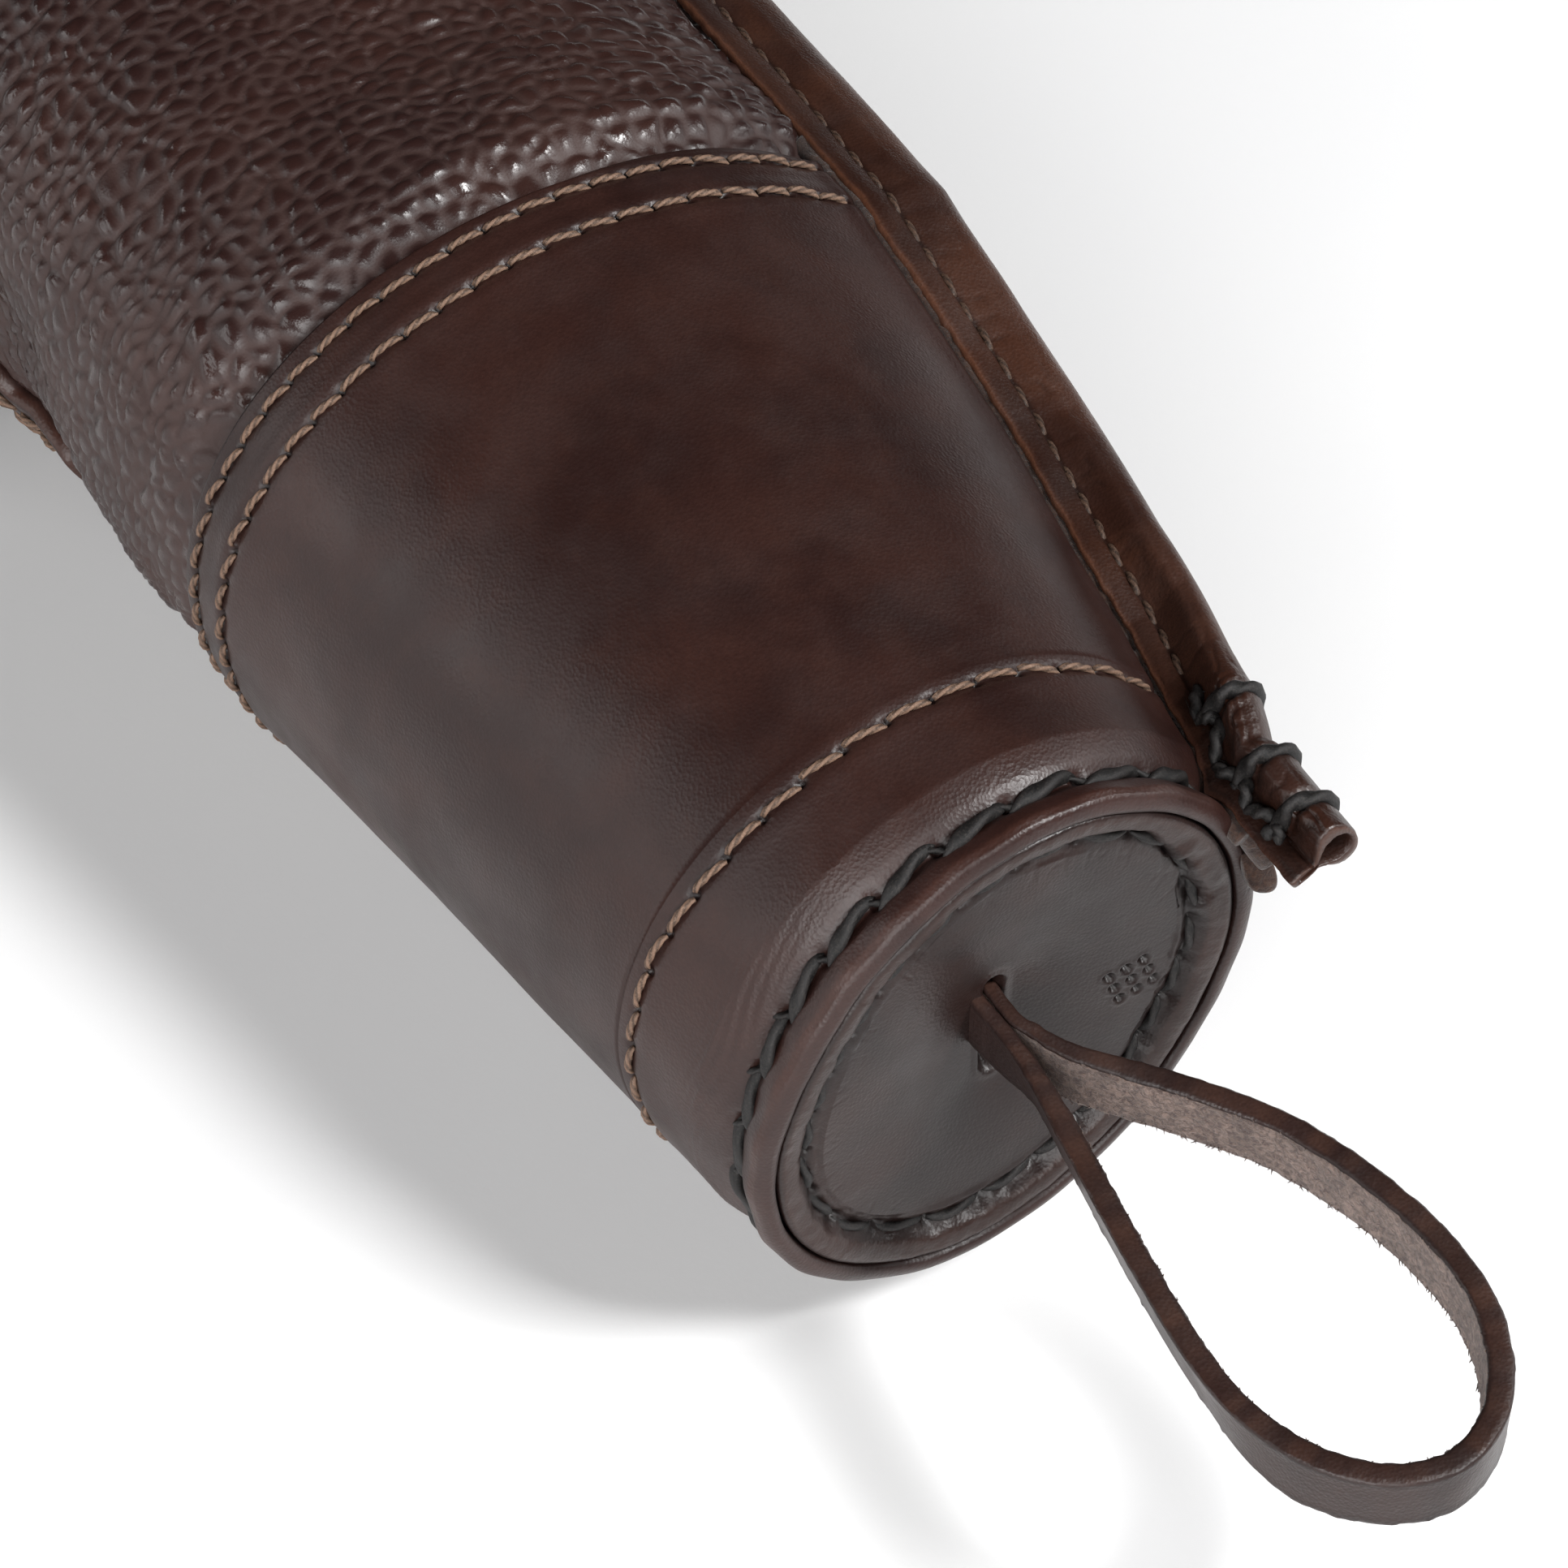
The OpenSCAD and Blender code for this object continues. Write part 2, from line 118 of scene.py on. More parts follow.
def flat_noise(u, v, size, seed=0, octaves=1):
    return noise(np.stack(np.broadcast_arrays(u, v, np.zeros(1)), -1), size, seed, octaves)


def pebbles(u, v, cell, seed):
    """Distances to the nearest and second nearest pebble centre, and a number for the nearest pebble."""
    cu, cv = np.floor(u / cell), np.floor(v / cell)
    first = np.full(np.broadcast(u, v).shape, 9.0)
    second = first.copy()
    mark = np.zeros_like(first)
    zero = np.zeros_like(first)
    for du in (-1, 0, 1):
        for dv in (-1, 0, 1):
            a = cu + du + zero
            b = cv + dv + zero
            pu = a + 0.5 + 0.8 * (lattice(a, b, zero, seed) - 0.5)
            pv = b + 0.5 + 0.8 * (lattice(a, b, zero, seed + 1) - 0.5)
            dist = np.hypot(u / cell - pu, v / cell - pv)
            near = dist < first
            second = np.where(near, first, np.minimum(second, dist))
            mark = np.where(near, lattice(a, b, zero, seed + 2), mark)
            first = np.where(near, dist, first)
    return first, second, mark


# ---------------------------------------------------------------- the case's skin
def pill(a):
    """Distance from the axis to the body's section, straight top and belly between two round sides."""
    c, s = np.abs(np.cos(a)), np.abs(np.sin(a))
    straight = c * SIDE_R <= SIDE_W * s
    side = SIDE_W * c + np.sqrt(np.maximum(SIDE_R**2 - (SIDE_W * s) ** 2, 0))
    return np.where(straight, SIDE_R / np.maximum(s, 1e-9), side)


PROFILE_D = [0, 1.5, 3.5, 5, 7, 10, 19.7, 95]
PROFILE_R = [32.2, 32.6, 32.4, 31.9, 33.0, 34.4, 36.07, 46.1]


def skin_r(d, a):
    """Distance from the axis to the outer skin, at d mm from the small rim and angle a from +Y towards +Z."""
    def key(at_rim, at_ring, at_band):
        return np.interp(d, [0, 19.7, 95], [at_rim, at_ring, at_band])

    mean = np.interp(d, PROFILE_D, PROFILE_R)
    oval = 1 + key(-0.0553, 0, 0.0818) * np.cos(2 * a) + key(0.0760, 0, -0.0298) * np.sin(2 * a)
    shift = key(0, 0.6, 2.5) * np.cos(a) + key(0, -0.1, 1.7) * np.sin(a)
    t = smooth((d - 97) / 45)
    turn = np.abs((a - 202 * DEG + math.pi) % (2 * math.pi) - math.pi)
    hollow = np.interp(d, [103, 110, 130, 150, 157, 177], [0, 2.0, 3.5, 5.3, 5.3, 0]) * smooth((52 * DEG - turn) / (28 * DEG))
    return (mean * oval + shift) * (1 - t) + pill(a) * t - hollow


def skin(d, a, lift=0.0, low=0.0):
    """Points of the skin in the case's frame, mm, raised by lift and pressed flat where it lies at height low."""
    d, a, lift = np.broadcast_arrays(np.asarray(d, float), a, lift)
    r = skin_r(d, a) + lift
    z = AXIS_H + r * np.sin(a)
    soft = 1.2
    z = low + soft * np.logaddexp(0, (z - low) / soft) - soft * 0.05
    return np.stack([RIM_X - d, r * np.cos(a), np.maximum(z, low)], -1)


ROOT_D = [0, 10, 20, 30, 40, 60, 70, 80, 90, 100, 110]
ROOT_A = [36.5, 37, 33, 31, 33, 33, 35, 37, 39, 40, 39.7]


def root_angle(d):
    """Angle of the line where the flap leaves the skin."""
    return np.interp(d, ROOT_D, ROOT_A) * DEG


# ---------------------------------------------------------------- meshes
class Shape:
    """Collects closed grids and tubes and turns them into one object."""

    def __init__(self):
        self.points, self.quads, self.tris, self.count = [], [], [], 0
        self.marks, self.paints, self.tri_paints = [], [], []

    def grid(self, p, wrap_u=False, wrap_v=False, caps=False, mark=None, paint=0):
        """A sheet of points (n, m, 3); caps close the ends of a sheet that wraps in v."""
        n, m = p.shape[:2]
        index = np.arange(n * m).reshape(n, m)
        iu = np.arange(n if wrap_u else n - 1)
        iv = np.arange(m if wrap_v else m - 1)
        a = index[iu][:, iv]
        b = index[(iu + 1) % n][:, iv]
        c = index[(iu + 1) % n][:, (iv + 1) % m]
        e = index[iu][:, (iv + 1) % m]
        quads = np.stack([a, b, c, e], -1).reshape(-1, 4)
        points = p.reshape(-1, 3)
        values = np.zeros(n * m) if mark is None else np.broadcast_to(mark, (n, m)).reshape(-1)
        tris = np.zeros((0, 3), int)
        if caps:
            ends = [p[0].mean(0), p[-1].mean(0)]
            points = np.vstack([points, ends])
            values = np.append(values, [0.0, 0.0])
            j = np.arange(m)
            k = (j + 1) % m
            first = np.stack([np.full(m, n * m), index[0][j], index[0][k]], -1)
            last = np.stack([np.full(m, n * m + 1), index[-1][k], index[-1][j]], -1)
            tris = np.vstack([first, last])
        painted = np.broadcast_to(paint, (n, m))[iu][:, iv].reshape(-1)
        self.paints.append(painted)
        self.tri_paints.append(np.zeros(len(tris), int))
        centre = points.mean(0)
        q = points - centre
        volume = np.einsum("ij,ij->i", q[quads[:, 0]], np.cross(q[quads[:, 1]], q[quads[:, 2]])).sum()
        volume += np.einsum("ij,ij->i", q[quads[:, 0]], np.cross(q[quads[:, 2]], q[quads[:, 3]])).sum()
        if len(tris):
            volume += np.einsum("ij,ij->i", q[tris[:, 0]], np.cross(q[tris[:, 1]], q[tris[:, 2]])).sum()
        if volume < 0:
            quads, tris = quads[:, ::-1], tris[:, ::-1]
        self.points.append(points)
        self.marks.append(values)
        self.quads.append(quads + self.count)
        self.tris.append(tris + self.count)
        self.count += len(points)
        return self

    def tube(self, path, radius, sides=8, up=None, flat=1.0, lobes=0, turns=0.0, wrap=False, mark=None, paint=0):
        """A tube along path; lobes and turns give it the strands of a laid thread."""
        path = np.asarray(path, float)
        n = len(path)
        if wrap:
            tangent = np.roll(path, -1, 0) - np.roll(path, 1, 0)
        else:
            tangent = np.gradient(path, axis=0)
        tangent /= np.linalg.norm(tangent, axis=1)[:, None]
        up = np.array([0.3, 0.2, 1.0]) if up is None else np.asarray(up, float)
        up = np.broadcast_to(up, path.shape)
        side = np.cross(tangent, up)
        side /= np.linalg.norm(side, axis=1)[:, None]
        normal = np.cross(side, tangent)
        radius = np.broadcast_to(radius, (n,))
        around = np.arange(sides) / sides * 2 * math.pi
        spin = np.linspace(0, turns * 2 * math.pi, n)[:, None]
        r = radius[:, None] * (1 + (0.2 * np.cos(lobes * (around[None] - spin)) if lobes else 0))
        p = (
            path[:, None]
            + (r * np.cos(around))[..., None] * side[:, None]
            + (r * flat * np.sin(around))[..., None] * normal[:, None]
        )
        if mark is None and lobes:
            mark = 0.5 + 0.5 * np.cos(lobes * (around[None] - spin))
        return self.grid(p, wrap_u=wrap, wrap_v=True, caps=not wrap, mark=mark, paint=paint)

    def build(self, name, material, body, slot, replaced=(), extra=()):
        points = np.vstack(self.points) * MM
        quads = np.vstack(self.quads)
        tris = np.vstack(self.tris)
        mesh = bpy.data.meshes.new(name)
        mesh.vertices.add(len(points))
        mesh.vertices.foreach_set("co", points.astype(np.float32).ravel())
        mesh.loops.add(quads.size + tris.size)
        mesh.loops.foreach_set("vertex_index", np.concatenate([quads.ravel(), tris.ravel()]).astype(np.int32))
        mesh.polygons.add(len(quads) + len(tris))
        starts = np.concatenate([np.arange(len(quads)) * 4, quads.size + np.arange(len(tris)) * 3])
        mesh.polygons.foreach_set("loop_start", starts.astype(np.int32))
        for filling in (material, *extra):
            mesh.materials.append(filling)
        painted = np.concatenate([*self.paints, *self.tri_paints]).astype(np.int32)
        mesh.polygons.foreach_set("material_index", painted)
        mesh.update(calc_edges=True)
        mesh.validate()
        mesh.shade_smooth()
        marks = mesh.attributes.new("relief", "FLOAT", "POINT")
        marks.data.foreach_set("value", np.concatenate(self.marks).astype(np.float32))
        thing = bpy.data.objects.new(name, mesh)
        bpy.context.scene.collection.objects.link(thing)
        if body:
            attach(thing, body)
        if replaced:
            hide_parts(*replaced)
        return thing


# ---------------------------------------------------------------- materials
class Nodes:
    """Short names for building one material's node tree."""

    def __init__(self, name):
        self.material = bpy.data.materials.new(name)
        self.material.use_nodes = True
        self.tree = self.material.node_tree
        self.shader = self.tree.nodes["Principled BSDF"]
        self.place = self.tree.nodes.new("ShaderNodeTexCoord").outputs["Object"]

    def join(self, a, b):
        self.tree.links.new(a, b)

    def new(self, kind, **inputs):
        node = self.tree.nodes.new(kind)
        for key, value in inputs.items():
            socket = node.inputs[key.replace("_", " ")]
            if isinstance(value, bpy.types.NodeSocket):
                self.join(value, socket)
            else:
                socket.default_value = value
        return node

    def noise(self, size, detail=4.0, rough=0.55, stretch=None, warp=0.0):
        place = self.place
        if stretch:
            place = self.new("ShaderNodeMapping", Vector=place, Scale=stretch).outputs[0]
        node = self.new("ShaderNodeTexNoise", Vector=place, Scale=1 / (size * MM), Detail=detail, Roughness=rough)
        node.inputs["Distortion"].default_value = warp
        return node.outputs[0]

    def cells(self, size, feature="F1", stretch=None):
        place = self.place
        if stretch:
            place = self.new("ShaderNodeMapping", Vector=place, Scale=stretch).outputs[0]
        node = self.tree.nodes.new("ShaderNodeTexVoronoi")
        node.feature = feature
        self.join(place, node.inputs["Vector"])
        node.inputs["Scale"].default_value = 1 / (size * MM)
        return node.outputs["Distance"]

    def mark(self, name="relief"):
        node = self.tree.nodes.new("ShaderNodeAttribute")
        node.attribute_name = name
        return node.outputs["Fac"]

    def math(self, operation, a, b=0.0, clamp=False):
        node = self.tree.nodes.new("ShaderNodeMath")
        node.operation = operation
        node.use_clamp = clamp
        for i, value in enumerate((a, b)):
            if isinstance(value, bpy.types.NodeSocket):
                self.join(value, node.inputs[i])
            else:
                node.inputs[i].default_value = value
        return node.outputs[0]

    def span(self, value, low, high, to_low=0.0, to_high=1.0):
        node = self.tree.nodes.new("ShaderNodeMapRange")
        node.interpolation_type = "SMOOTHSTEP"
        self.join(value, node.inputs["Value"])
        for key, number in zip(("From Min", "From Max", "To Min", "To Max"), (low, high, to_low, to_high)):
            node.inputs[key].default_value = number
        return node.outputs[0]

    def mix(self, fac, a, b, blend="MIX"):
        node = self.tree.nodes.new("ShaderNodeMix")
        node.data_type = "RGBA"
        node.blend_type = blend
        for socket, value in ((node.inputs[0], fac), (node.inputs[6], a), (node.inputs[7], b)):
            if isinstance(value, bpy.types.NodeSocket):
                self.join(value, socket)
            elif isinstance(value, tuple):
                socket.default_value = (*value, 1.0)
            else:
                socket.default_value = value
        return node.outputs[2]

    def bump(self, height, distance, strength=1.0, below=None):
        node = self.tree.nodes.new("ShaderNodeBump")
        node.inputs["Distance"].default_value = distance * MM
        node.inputs["Strength"].default_value = strength
        self.join(height, node.inputs["Height"])
        if below is not None:
            self.join(below, node.inputs["Normal"])
        return node.outputs[0]

    def finish(self, colour, rough, normal, **values):
        self.join(colour, self.shader.inputs["Base Color"])
        if isinstance(rough, bpy.types.NodeSocket):
            self.join(rough, self.shader.inputs["Roughness"])
        else:
            self.shader.inputs["Roughness"].default_value = rough
        if normal is not None:
            self.join(normal, self.shader.inputs["Normal"])
        for key, value in values.items():
            self.shader.inputs[key.replace("_", " ")].default_value = value
        return self.material


def smooth_leather(name, dark, mid, warm, rough=(0.36, 0.5), grain=0.05, specular=0.5, coat=0.0):
    """Waxed calf: cloudy dye, pores and a fine grain that only shows in the highlights; painted shade where the relief
    mark is above 0, lighter wear where it is below 0.
    """
    n = Nodes(name)
    cloud = n.span(n.noise(26, 3, 0.6, warp=0.4), 0.38, 0.64)
    blotch = n.span(n.noise(7, 4, 0.65), 0.45, 0.75)
    pores = n.cells(0.42)
    fine = n.noise(0.5, 3, 0.6)
    colour = n.mix(cloud, dark, mid)
    colour = n.mix(n.math("MULTIPLY", blotch, 0.22), colour, warm)
    # Relief marks above 0 darken the colour: painted shade in grooves, stitch holes, creases and crevices.
    colour = n.mix(n.math("MULTIPLY", n.span(n.mark(), 0.0, 1.0), 0.75), colour, tuple(c * 0.3 for c in dark))
    worn = n.span(n.mark(), -1.0, 0.0, 1.0, 0.0)
    colour = n.mix(n.math("MULTIPLY", worn, 0.6), colour, tuple(c * 1.5 for c in warm))
    colour = n.mix(n.span(fine, 0.35, 0.7, 0.0, 0.25), colour, tuple(c * 0.55 for c in dark))
    gloss = n.span(n.noise(11, 5, 0.6), 0.3, 0.7, rough[0], rough[1])
    normal = n.bump(pores, grain, 0.7)
    normal = n.bump(fine, grain * 0.8, 0.6, normal)
    return n.finish(colour, gloss, normal, Specular_IOR_Level=specular, Coat_Weight=coat, Coat_Roughness=0.25)


def pebble_leather(name):
    """Tumbled hide: the pebbles are in the mesh, and relief is 1 in the creases between them."""
    n = Nodes(name)
    crease = n.span(n.mark(), 0.35, 0.95)
    cloud = n.span(n.noise(30, 3, 0.6), 0.35, 0.68)
    colour = n.mix(cloud, (0.021, 0.0092, 0.0082), (0.034, 0.0150, 0.0122))
    colour = n.mix(n.math("MULTIPLY", crease, 0.35), colour, (0.050, 0.0215, 0.0160))
    fine = n.noise(0.35, 4, 0.6)
    gloss = n.span(n.mark(), 0.0, 1.0, 0.22, 0.62)
    normal = n.bump(n.cells(0.33), 0.035, 0.5)
    normal = n.bump(fine, 0.03, 0.6, normal)
    return n.finish(colour, gloss, normal, Specular_IOR_Level=0.53)


def rough_leather(name, base, light, fibre=0.06):
    """Flesh side or cut edge: matt, fibrous."""
    n = Nodes(name)
    nap = n.noise(0.7, 6, 0.75, warp=0.8)
    cloud = n.noise(4, 4, 0.6)
    colour = n.mix(n.span(nap, 0.38, 0.66), base, light)
    colour = n.mix(n.span(cloud, 0.35, 0.7, 0.0, 0.45), colour, tuple(c * 0.5 for c in base))
    normal = n.bump(nap, fibre * 5, 1.0)
    return n.finish(colour, 0.85, normal, Specular_IOR_Level=0.25, Sheen_Weight=0.25, Sheen_Roughness=0.5)


def thread_finish(name, base, light, rough=0.6, fibre=0.05):
    """Laid thread: relief is 1 on top of each strand; the colour darkens between the strands as painted shade."""
    n = Nodes(name)
    strand = n.span(n.mark(), 0.1, 0.8)
    fuzz = n.noise(0.25, 4, 0.7)
    # Darker between the strands: painted shade.
    colour = n.mix(strand, tuple(c * 0.35 for c in base), base)
    colour = n.mix(n.span(fuzz, 0.45, 0.75, 0.0, 0.7), colour, light)
    normal = n.bump(fuzz, fibre, 0.7)
    return n.finish(colour, rough, normal, Specular_IOR_Level=0.35)


def board_finish(name):
    n = Nodes(name)
    fibre = n.noise(1.2, 6, 0.75, stretch=(1, 1, 3))
    colour = n.mix(n.span(fibre, 0.35, 0.7), (0.13, 0.085, 0.05), (0.26, 0.18, 0.115))
    return n.finish(colour, 0.9, n.bump(fibre, 0.15, 0.6), Specular_IOR_Level=0.2)


def woven_finish(name):
    """Twill tape."""
    n = Nodes(name)
    spread = n.new("ShaderNodeSeparateXYZ", Vector=n.place)
    across = n.math("ADD", n.math("MULTIPLY", spread.outputs[0], 2 * math.pi / (0.9 * MM)), 0.0)
    along = n.math("MULTIPLY", n.math("ADD", spread.outputs[1], spread.outputs[2]), 2 * math.pi / (0.9 * MM))
    weave = n.math("MULTIPLY", n.math("SINE", n.math("ADD", across, along)), n.math("SINE", n.math("SUBTRACT", along, across)))
    fuzz = n.noise(0.3, 3, 0.6)
    height = n.math("ADD", n.math("MULTIPLY", weave, 0.5), fuzz)
    # Darker where the weave is low: painted shade in the weave's hollows, mixed with a random fuzz tone.
    colour = n.mix(n.span(height, 0.0, 1.0), (0.010, 0.008, 0.0075), (0.045, 0.033, 0.028))
    return n.finish(colour, 0.85, n.bump(height, 0.12, 0.7), Specular_IOR_Level=0.25, Sheen_Weight=0.2)


def brass_finish(name):
    """Antique brass: tarnish and dark spots at random, with fine scratches."""
    n = Nodes(name)
    tarnish = n.span(n.noise(2.2, 6, 0.7), 0.35, 0.65)
    spots = n.span(n.noise(0.6, 4, 0.6), 0.5, 0.72)
    colour = n.mix(tarnish, (0.36, 0.250, 0.130), (0.17, 0.108, 0.052))
    colour = n.mix(n.math("MULTIPLY", spots, 0.5), colour, (0.07, 0.04, 0.02))
    gloss = n.span(n.noise(1.1, 5, 0.6), 0.3, 0.7, 0.26, 0.46)
    scratch = n.noise(0.5, 2, 0.5, stretch=(0.15, 1, 1))
    return n.finish(colour, gloss, n.bump(scratch, 0.03, 0.4), Metallic=1.0)


SLEEVE = smooth_leather("sleeve_leather", (0.0185, 0.0068, 0.0055), (0.031, 0.0120, 0.0092), (0.046, 0.0180, 0.0120), specular=0.42)
BODY = pebble_leather("body_leather")
CAP = smooth_leather("cap_leather", (0.0095, 0.0043, 0.0037), (0.0185, 0.0080, 0.0064), (0.028, 0.0120, 0.0085), (0.34, 0.46), 0.05, 0.40)
FLAP = smooth_leather("flap_leather", (0.027, 0.0098, 0.0062), (0.050, 0.0185, 0.0105), (0.085, 0.0330, 0.0170), (0.33, 0.5), 0.06)
STRAP = smooth_leather("strap_leather", (0.0165, 0.0080, 0.0070), (0.029, 0.0140, 0.0115), (0.048, 0.0225, 0.0150), (0.34, 0.5), 0.06, 0.40)
SUEDE = rough_leather("suede", (0.075, 0.044, 0.036), (0.27, 0.19, 0.155))
LINING = rough_leather("lining_suede", (0.11, 0.062, 0.042), (0.21, 0.13, 0.09))
BOARD = board_finish("board")
LINEN = thread_finish("linen_thread", (0.165, 0.098, 0.066), (0.30, 0.20, 0.145), 0.65)
DARK_LINEN = thread_finish("dark_linen_thread", (0.060, 0.033, 0.022), (0.15, 0.09, 0.06), 0.6)
WELT = rough_leather("welt_leather", (0.024, 0.0105, 0.0075), (0.065, 0.031, 0.019), 0.05)
WAXED = thread_finish("waxed_thread", (0.0105, 0.0092, 0.0092), (0.045, 0.038, 0.034), 0.58, 0.09)
TAPE = woven_finish("zip_tape")
BRASS = brass_finish("antique_brass")


# ---------------------------------------------------------------- stitches
def stitch_angles(d, pitch, start, stop, lift=0.0):
    """Angles of the stitch holes along a ring at station d, evenly spaced by the length of the ring."""
    a = np.linspace(start, stop, 2000)
    ring = skin(np.full_like(a, d), a, lift)
    length = np.concatenate([[0], np.cumsum(np.linalg.norm(np.diff(ring, axis=0), axis=1))])
    count = max(2, int(round(length[-1] / pitch)))
    return np.interp(np.linspace(0, length[-1], count + 1), length, a)


def ring_station(name, a):
    """Station of each stitch ring; the rings wander by a few tenths of a millimetre."""
    base = {"s1": RING_S1, "a": RING_A, "b": RING_B}[name]
    swing = {"s1": 0.35, "a": 0.7, "b": 0.7}[name]
    return base + swing * np.cos(2 * (a - 0.7)) + 0.15 * np.sin(5 * a)


RINGS = {}
for ring_name, pitch in (("s1", 5.5), ("a", 4.7), ("b", 4.7)):
    station = {"s1": RING_S1, "a": RING_A, "b": RING_B}[ring_name]
    edge = float(root_angle(station)) + (2.0 * DEG)
    RINGS[ring_name] = stitch_angles(station, pitch, edge, edge + 2 * math.pi - 24 * DEG)

RIM_STITCHES = 24
RIM_TURN = (np.arange(RIM_STITCHES) + 0.35) * 2 * math.pi / RIM_STITCHES + 37 * DEG


def sunk(d, a):
    """How far the sleeve's skin is pulled in by its stitches and raised by its handling, mm."""
    h = np.zeros(np.broadcast(d, a).shape)
    for ring, holes in RINGS.items():
        centre = ring_station(ring, a)
        near = np.abs(d - centre) < 4
        if not near.any():
            continue
        h -= 0.24 * bell(d, centre, 0.75)
        h += 0.10 * bell(d, centre + 1.9, 1.1) + 0.10 * bell(d, centre - 1.9, 1.1)
        reach = skin_r(d, a)
        turn = (a - holes[0]) % (2 * math.pi)
        step = holes - holes[0]
        index = np.clip(np.searchsorted(step, turn), 1, len(step) - 1)
        gap = np.minimum(np.abs(turn - step[index - 1]), np.abs(turn - step[index])) * reach
        h -= 0.75 * np.exp(-((gap / 0.55) ** 2) - ((d - centre) / 0.5) ** 2)
    return h


# ---------------------------------------------------------------- tapered sleeve
def crest(a):
    """Handling waves of the small rim, mm."""
    return 0.22 * np.sin(3 * a + 0.6) + 0.16 * np.sin(7 * a + 1.1) + 0.10 * np.sin(13 * a)


def pucker(d, a):
    """Gathers between the thick stitches of the small rim."""
    phase = (a - RIM_TURN[0]) / (2 * math.pi) * RIM_STITCHES
    swell = 0.5 + 0.5 * np.cos(2 * math.pi * (phase - 0.5))
    h = -0.55 * bell(d, 5.0, 1.2) * (0.55 + 0.45 * swell)
    h += 0.28 * bell(d, 1.9, 1.4) * (1 - swell)
    hole = np.minimum(phase % 1.0, 1 - phase % 1.0) * 8.4
    h -= 0.9 * np.exp(-((hole / 0.9) ** 2) - ((d - 5.0) / 0.9) ** 2)
    lean = noise(np.stack(np.broadcast_arrays(d * 1.0, 9 * a, 9 * a * 0), -1), 3.0, 31)
    low_left = smooth((80 * DEG - np.abs((a - 195 * DEG + math.pi) % (2 * math.pi) - math.pi)) / (50 * DEG))
    h += 0.08 * np.sin(2 * math.pi * d / 1.25 + 5.0 * lean + 9 * np.sin(a * 5)) * bell(d, 8.6, 2.6) * low_left
    h += 0.24 * bell(d, 8.6, 2.8) * (1 - low_left)
    return h


def sleeve_relief(d, a, p):
    h = sunk(d, a) + pucker(d, a) * (d < 16)
    h += 0.28 * noise(p, 30, 3, 2) * smooth((d - 6) / 14)
    h += 0.05 * noise(p, 7, 5, 2)
    across = (a - root_angle(d)) * skin_r(d, a)
    h += 0.35 * bell(across, 1.6, 1.3) * smooth((d - 4) / 6)
    inside = smooth((0.6 - np.abs(across + 6.0) + 5.6) / 0.7)
    h -= 1.7 * inside
    return h


def build_sleeve():
    stations = np.unique(np.concatenate([
        np.arange(0.6, 12.0, 0.24), np.arange(12.0, 18.0, 0.5), np.arange(18.0, 21.8, 0.2),
        np.arange(21.8, 91.0, 0.8), np.arange(91.0, SLEEVE_EDGE - 0.5, 0.24)]))
    m = 760
    a = np.arange(m) / m * 2 * math.pi
    d = stations[:, None] * np.ones(m)
    angle = a[None] * np.ones_like(d)
    rough = skin(d, angle)
    outer = skin(d, angle, sleeve_relief(d, angle, rough))
    rows = []
    lip = [(0.25, -0.35, 0.0), (0.0, -1.0, 0.0), (-0.05, -1.5, 0.1), (0.15, -2.1, 0.5), (0.9, -2.45, 0.9)]
    for at, lift, shade in reversed(lip):
        ring = skin(np.full(m, at), a, lift + 0.25 * pucker(1.9, a))
        ring[:, 0] += crest(a) * 0.5
        rows.append((ring, np.full(m, shade)))
    ramp = smooth((6 - stations) / 5)
    outer[..., 0] += ramp[:, None] * crest(a)[None] * 0.5
    # The groove mark darkens the skin: painted shade in the rim's groove and in the stitch grooves and holes, lighter
    # wear on the rim's crest.
    groove = bell(d, 5.0, 1.0) * 0.5
    for ring in ("s1", "a", "b"):
        groove = np.maximum(groove, 0.45 * bell(d, ring_station(ring, angle), 0.6))
    groove = np.where(sunk(d, angle) < -0.55, 1.0, groove)
    groove = groove - 0.5 * bell(d, 1.2, 0.9)
    for i in range(len(stations)):
        rows.append((outer[i], groove[i]))
    edge = SLEEVE_EDGE + 0.5 * np.sin(2 * a) + 0.2 * np.sin(7 * a)
    for at, lift, shade in [(-0.15, -0.1, -0.6), (0.0, -0.5, -0.8), (0.0, -1.2, 0.2), (-0.3, -1.9, 0.8)]:
        rows.append((skin(edge + at, a, lift), np.full(m, shade)))
    # The inside of the sleeve is marked darker: painted shade.
    for at in (97, 80, 60, 40, 24, 12, 6, 2.5):
        rows.append((skin(np.full(m, at), a, -2.3, 0.8), np.full(m, 0.3)))
    p = np.stack([r[0] for r in rows])
    mark = np.stack([r[1] for r in rows])
    shape = Shape().grid(p, wrap_u=True, wrap_v=True, mark=mark)
    return shape.build("end_sleeve_skin", SLEEVE, "case", "smooth_leather", ("end_sleeve",))


# ---------------------------------------------------------------- pebbled body
SLOT_LOW = 20.2 * DEG
SLOT_HIGH = 34.1 * DEG


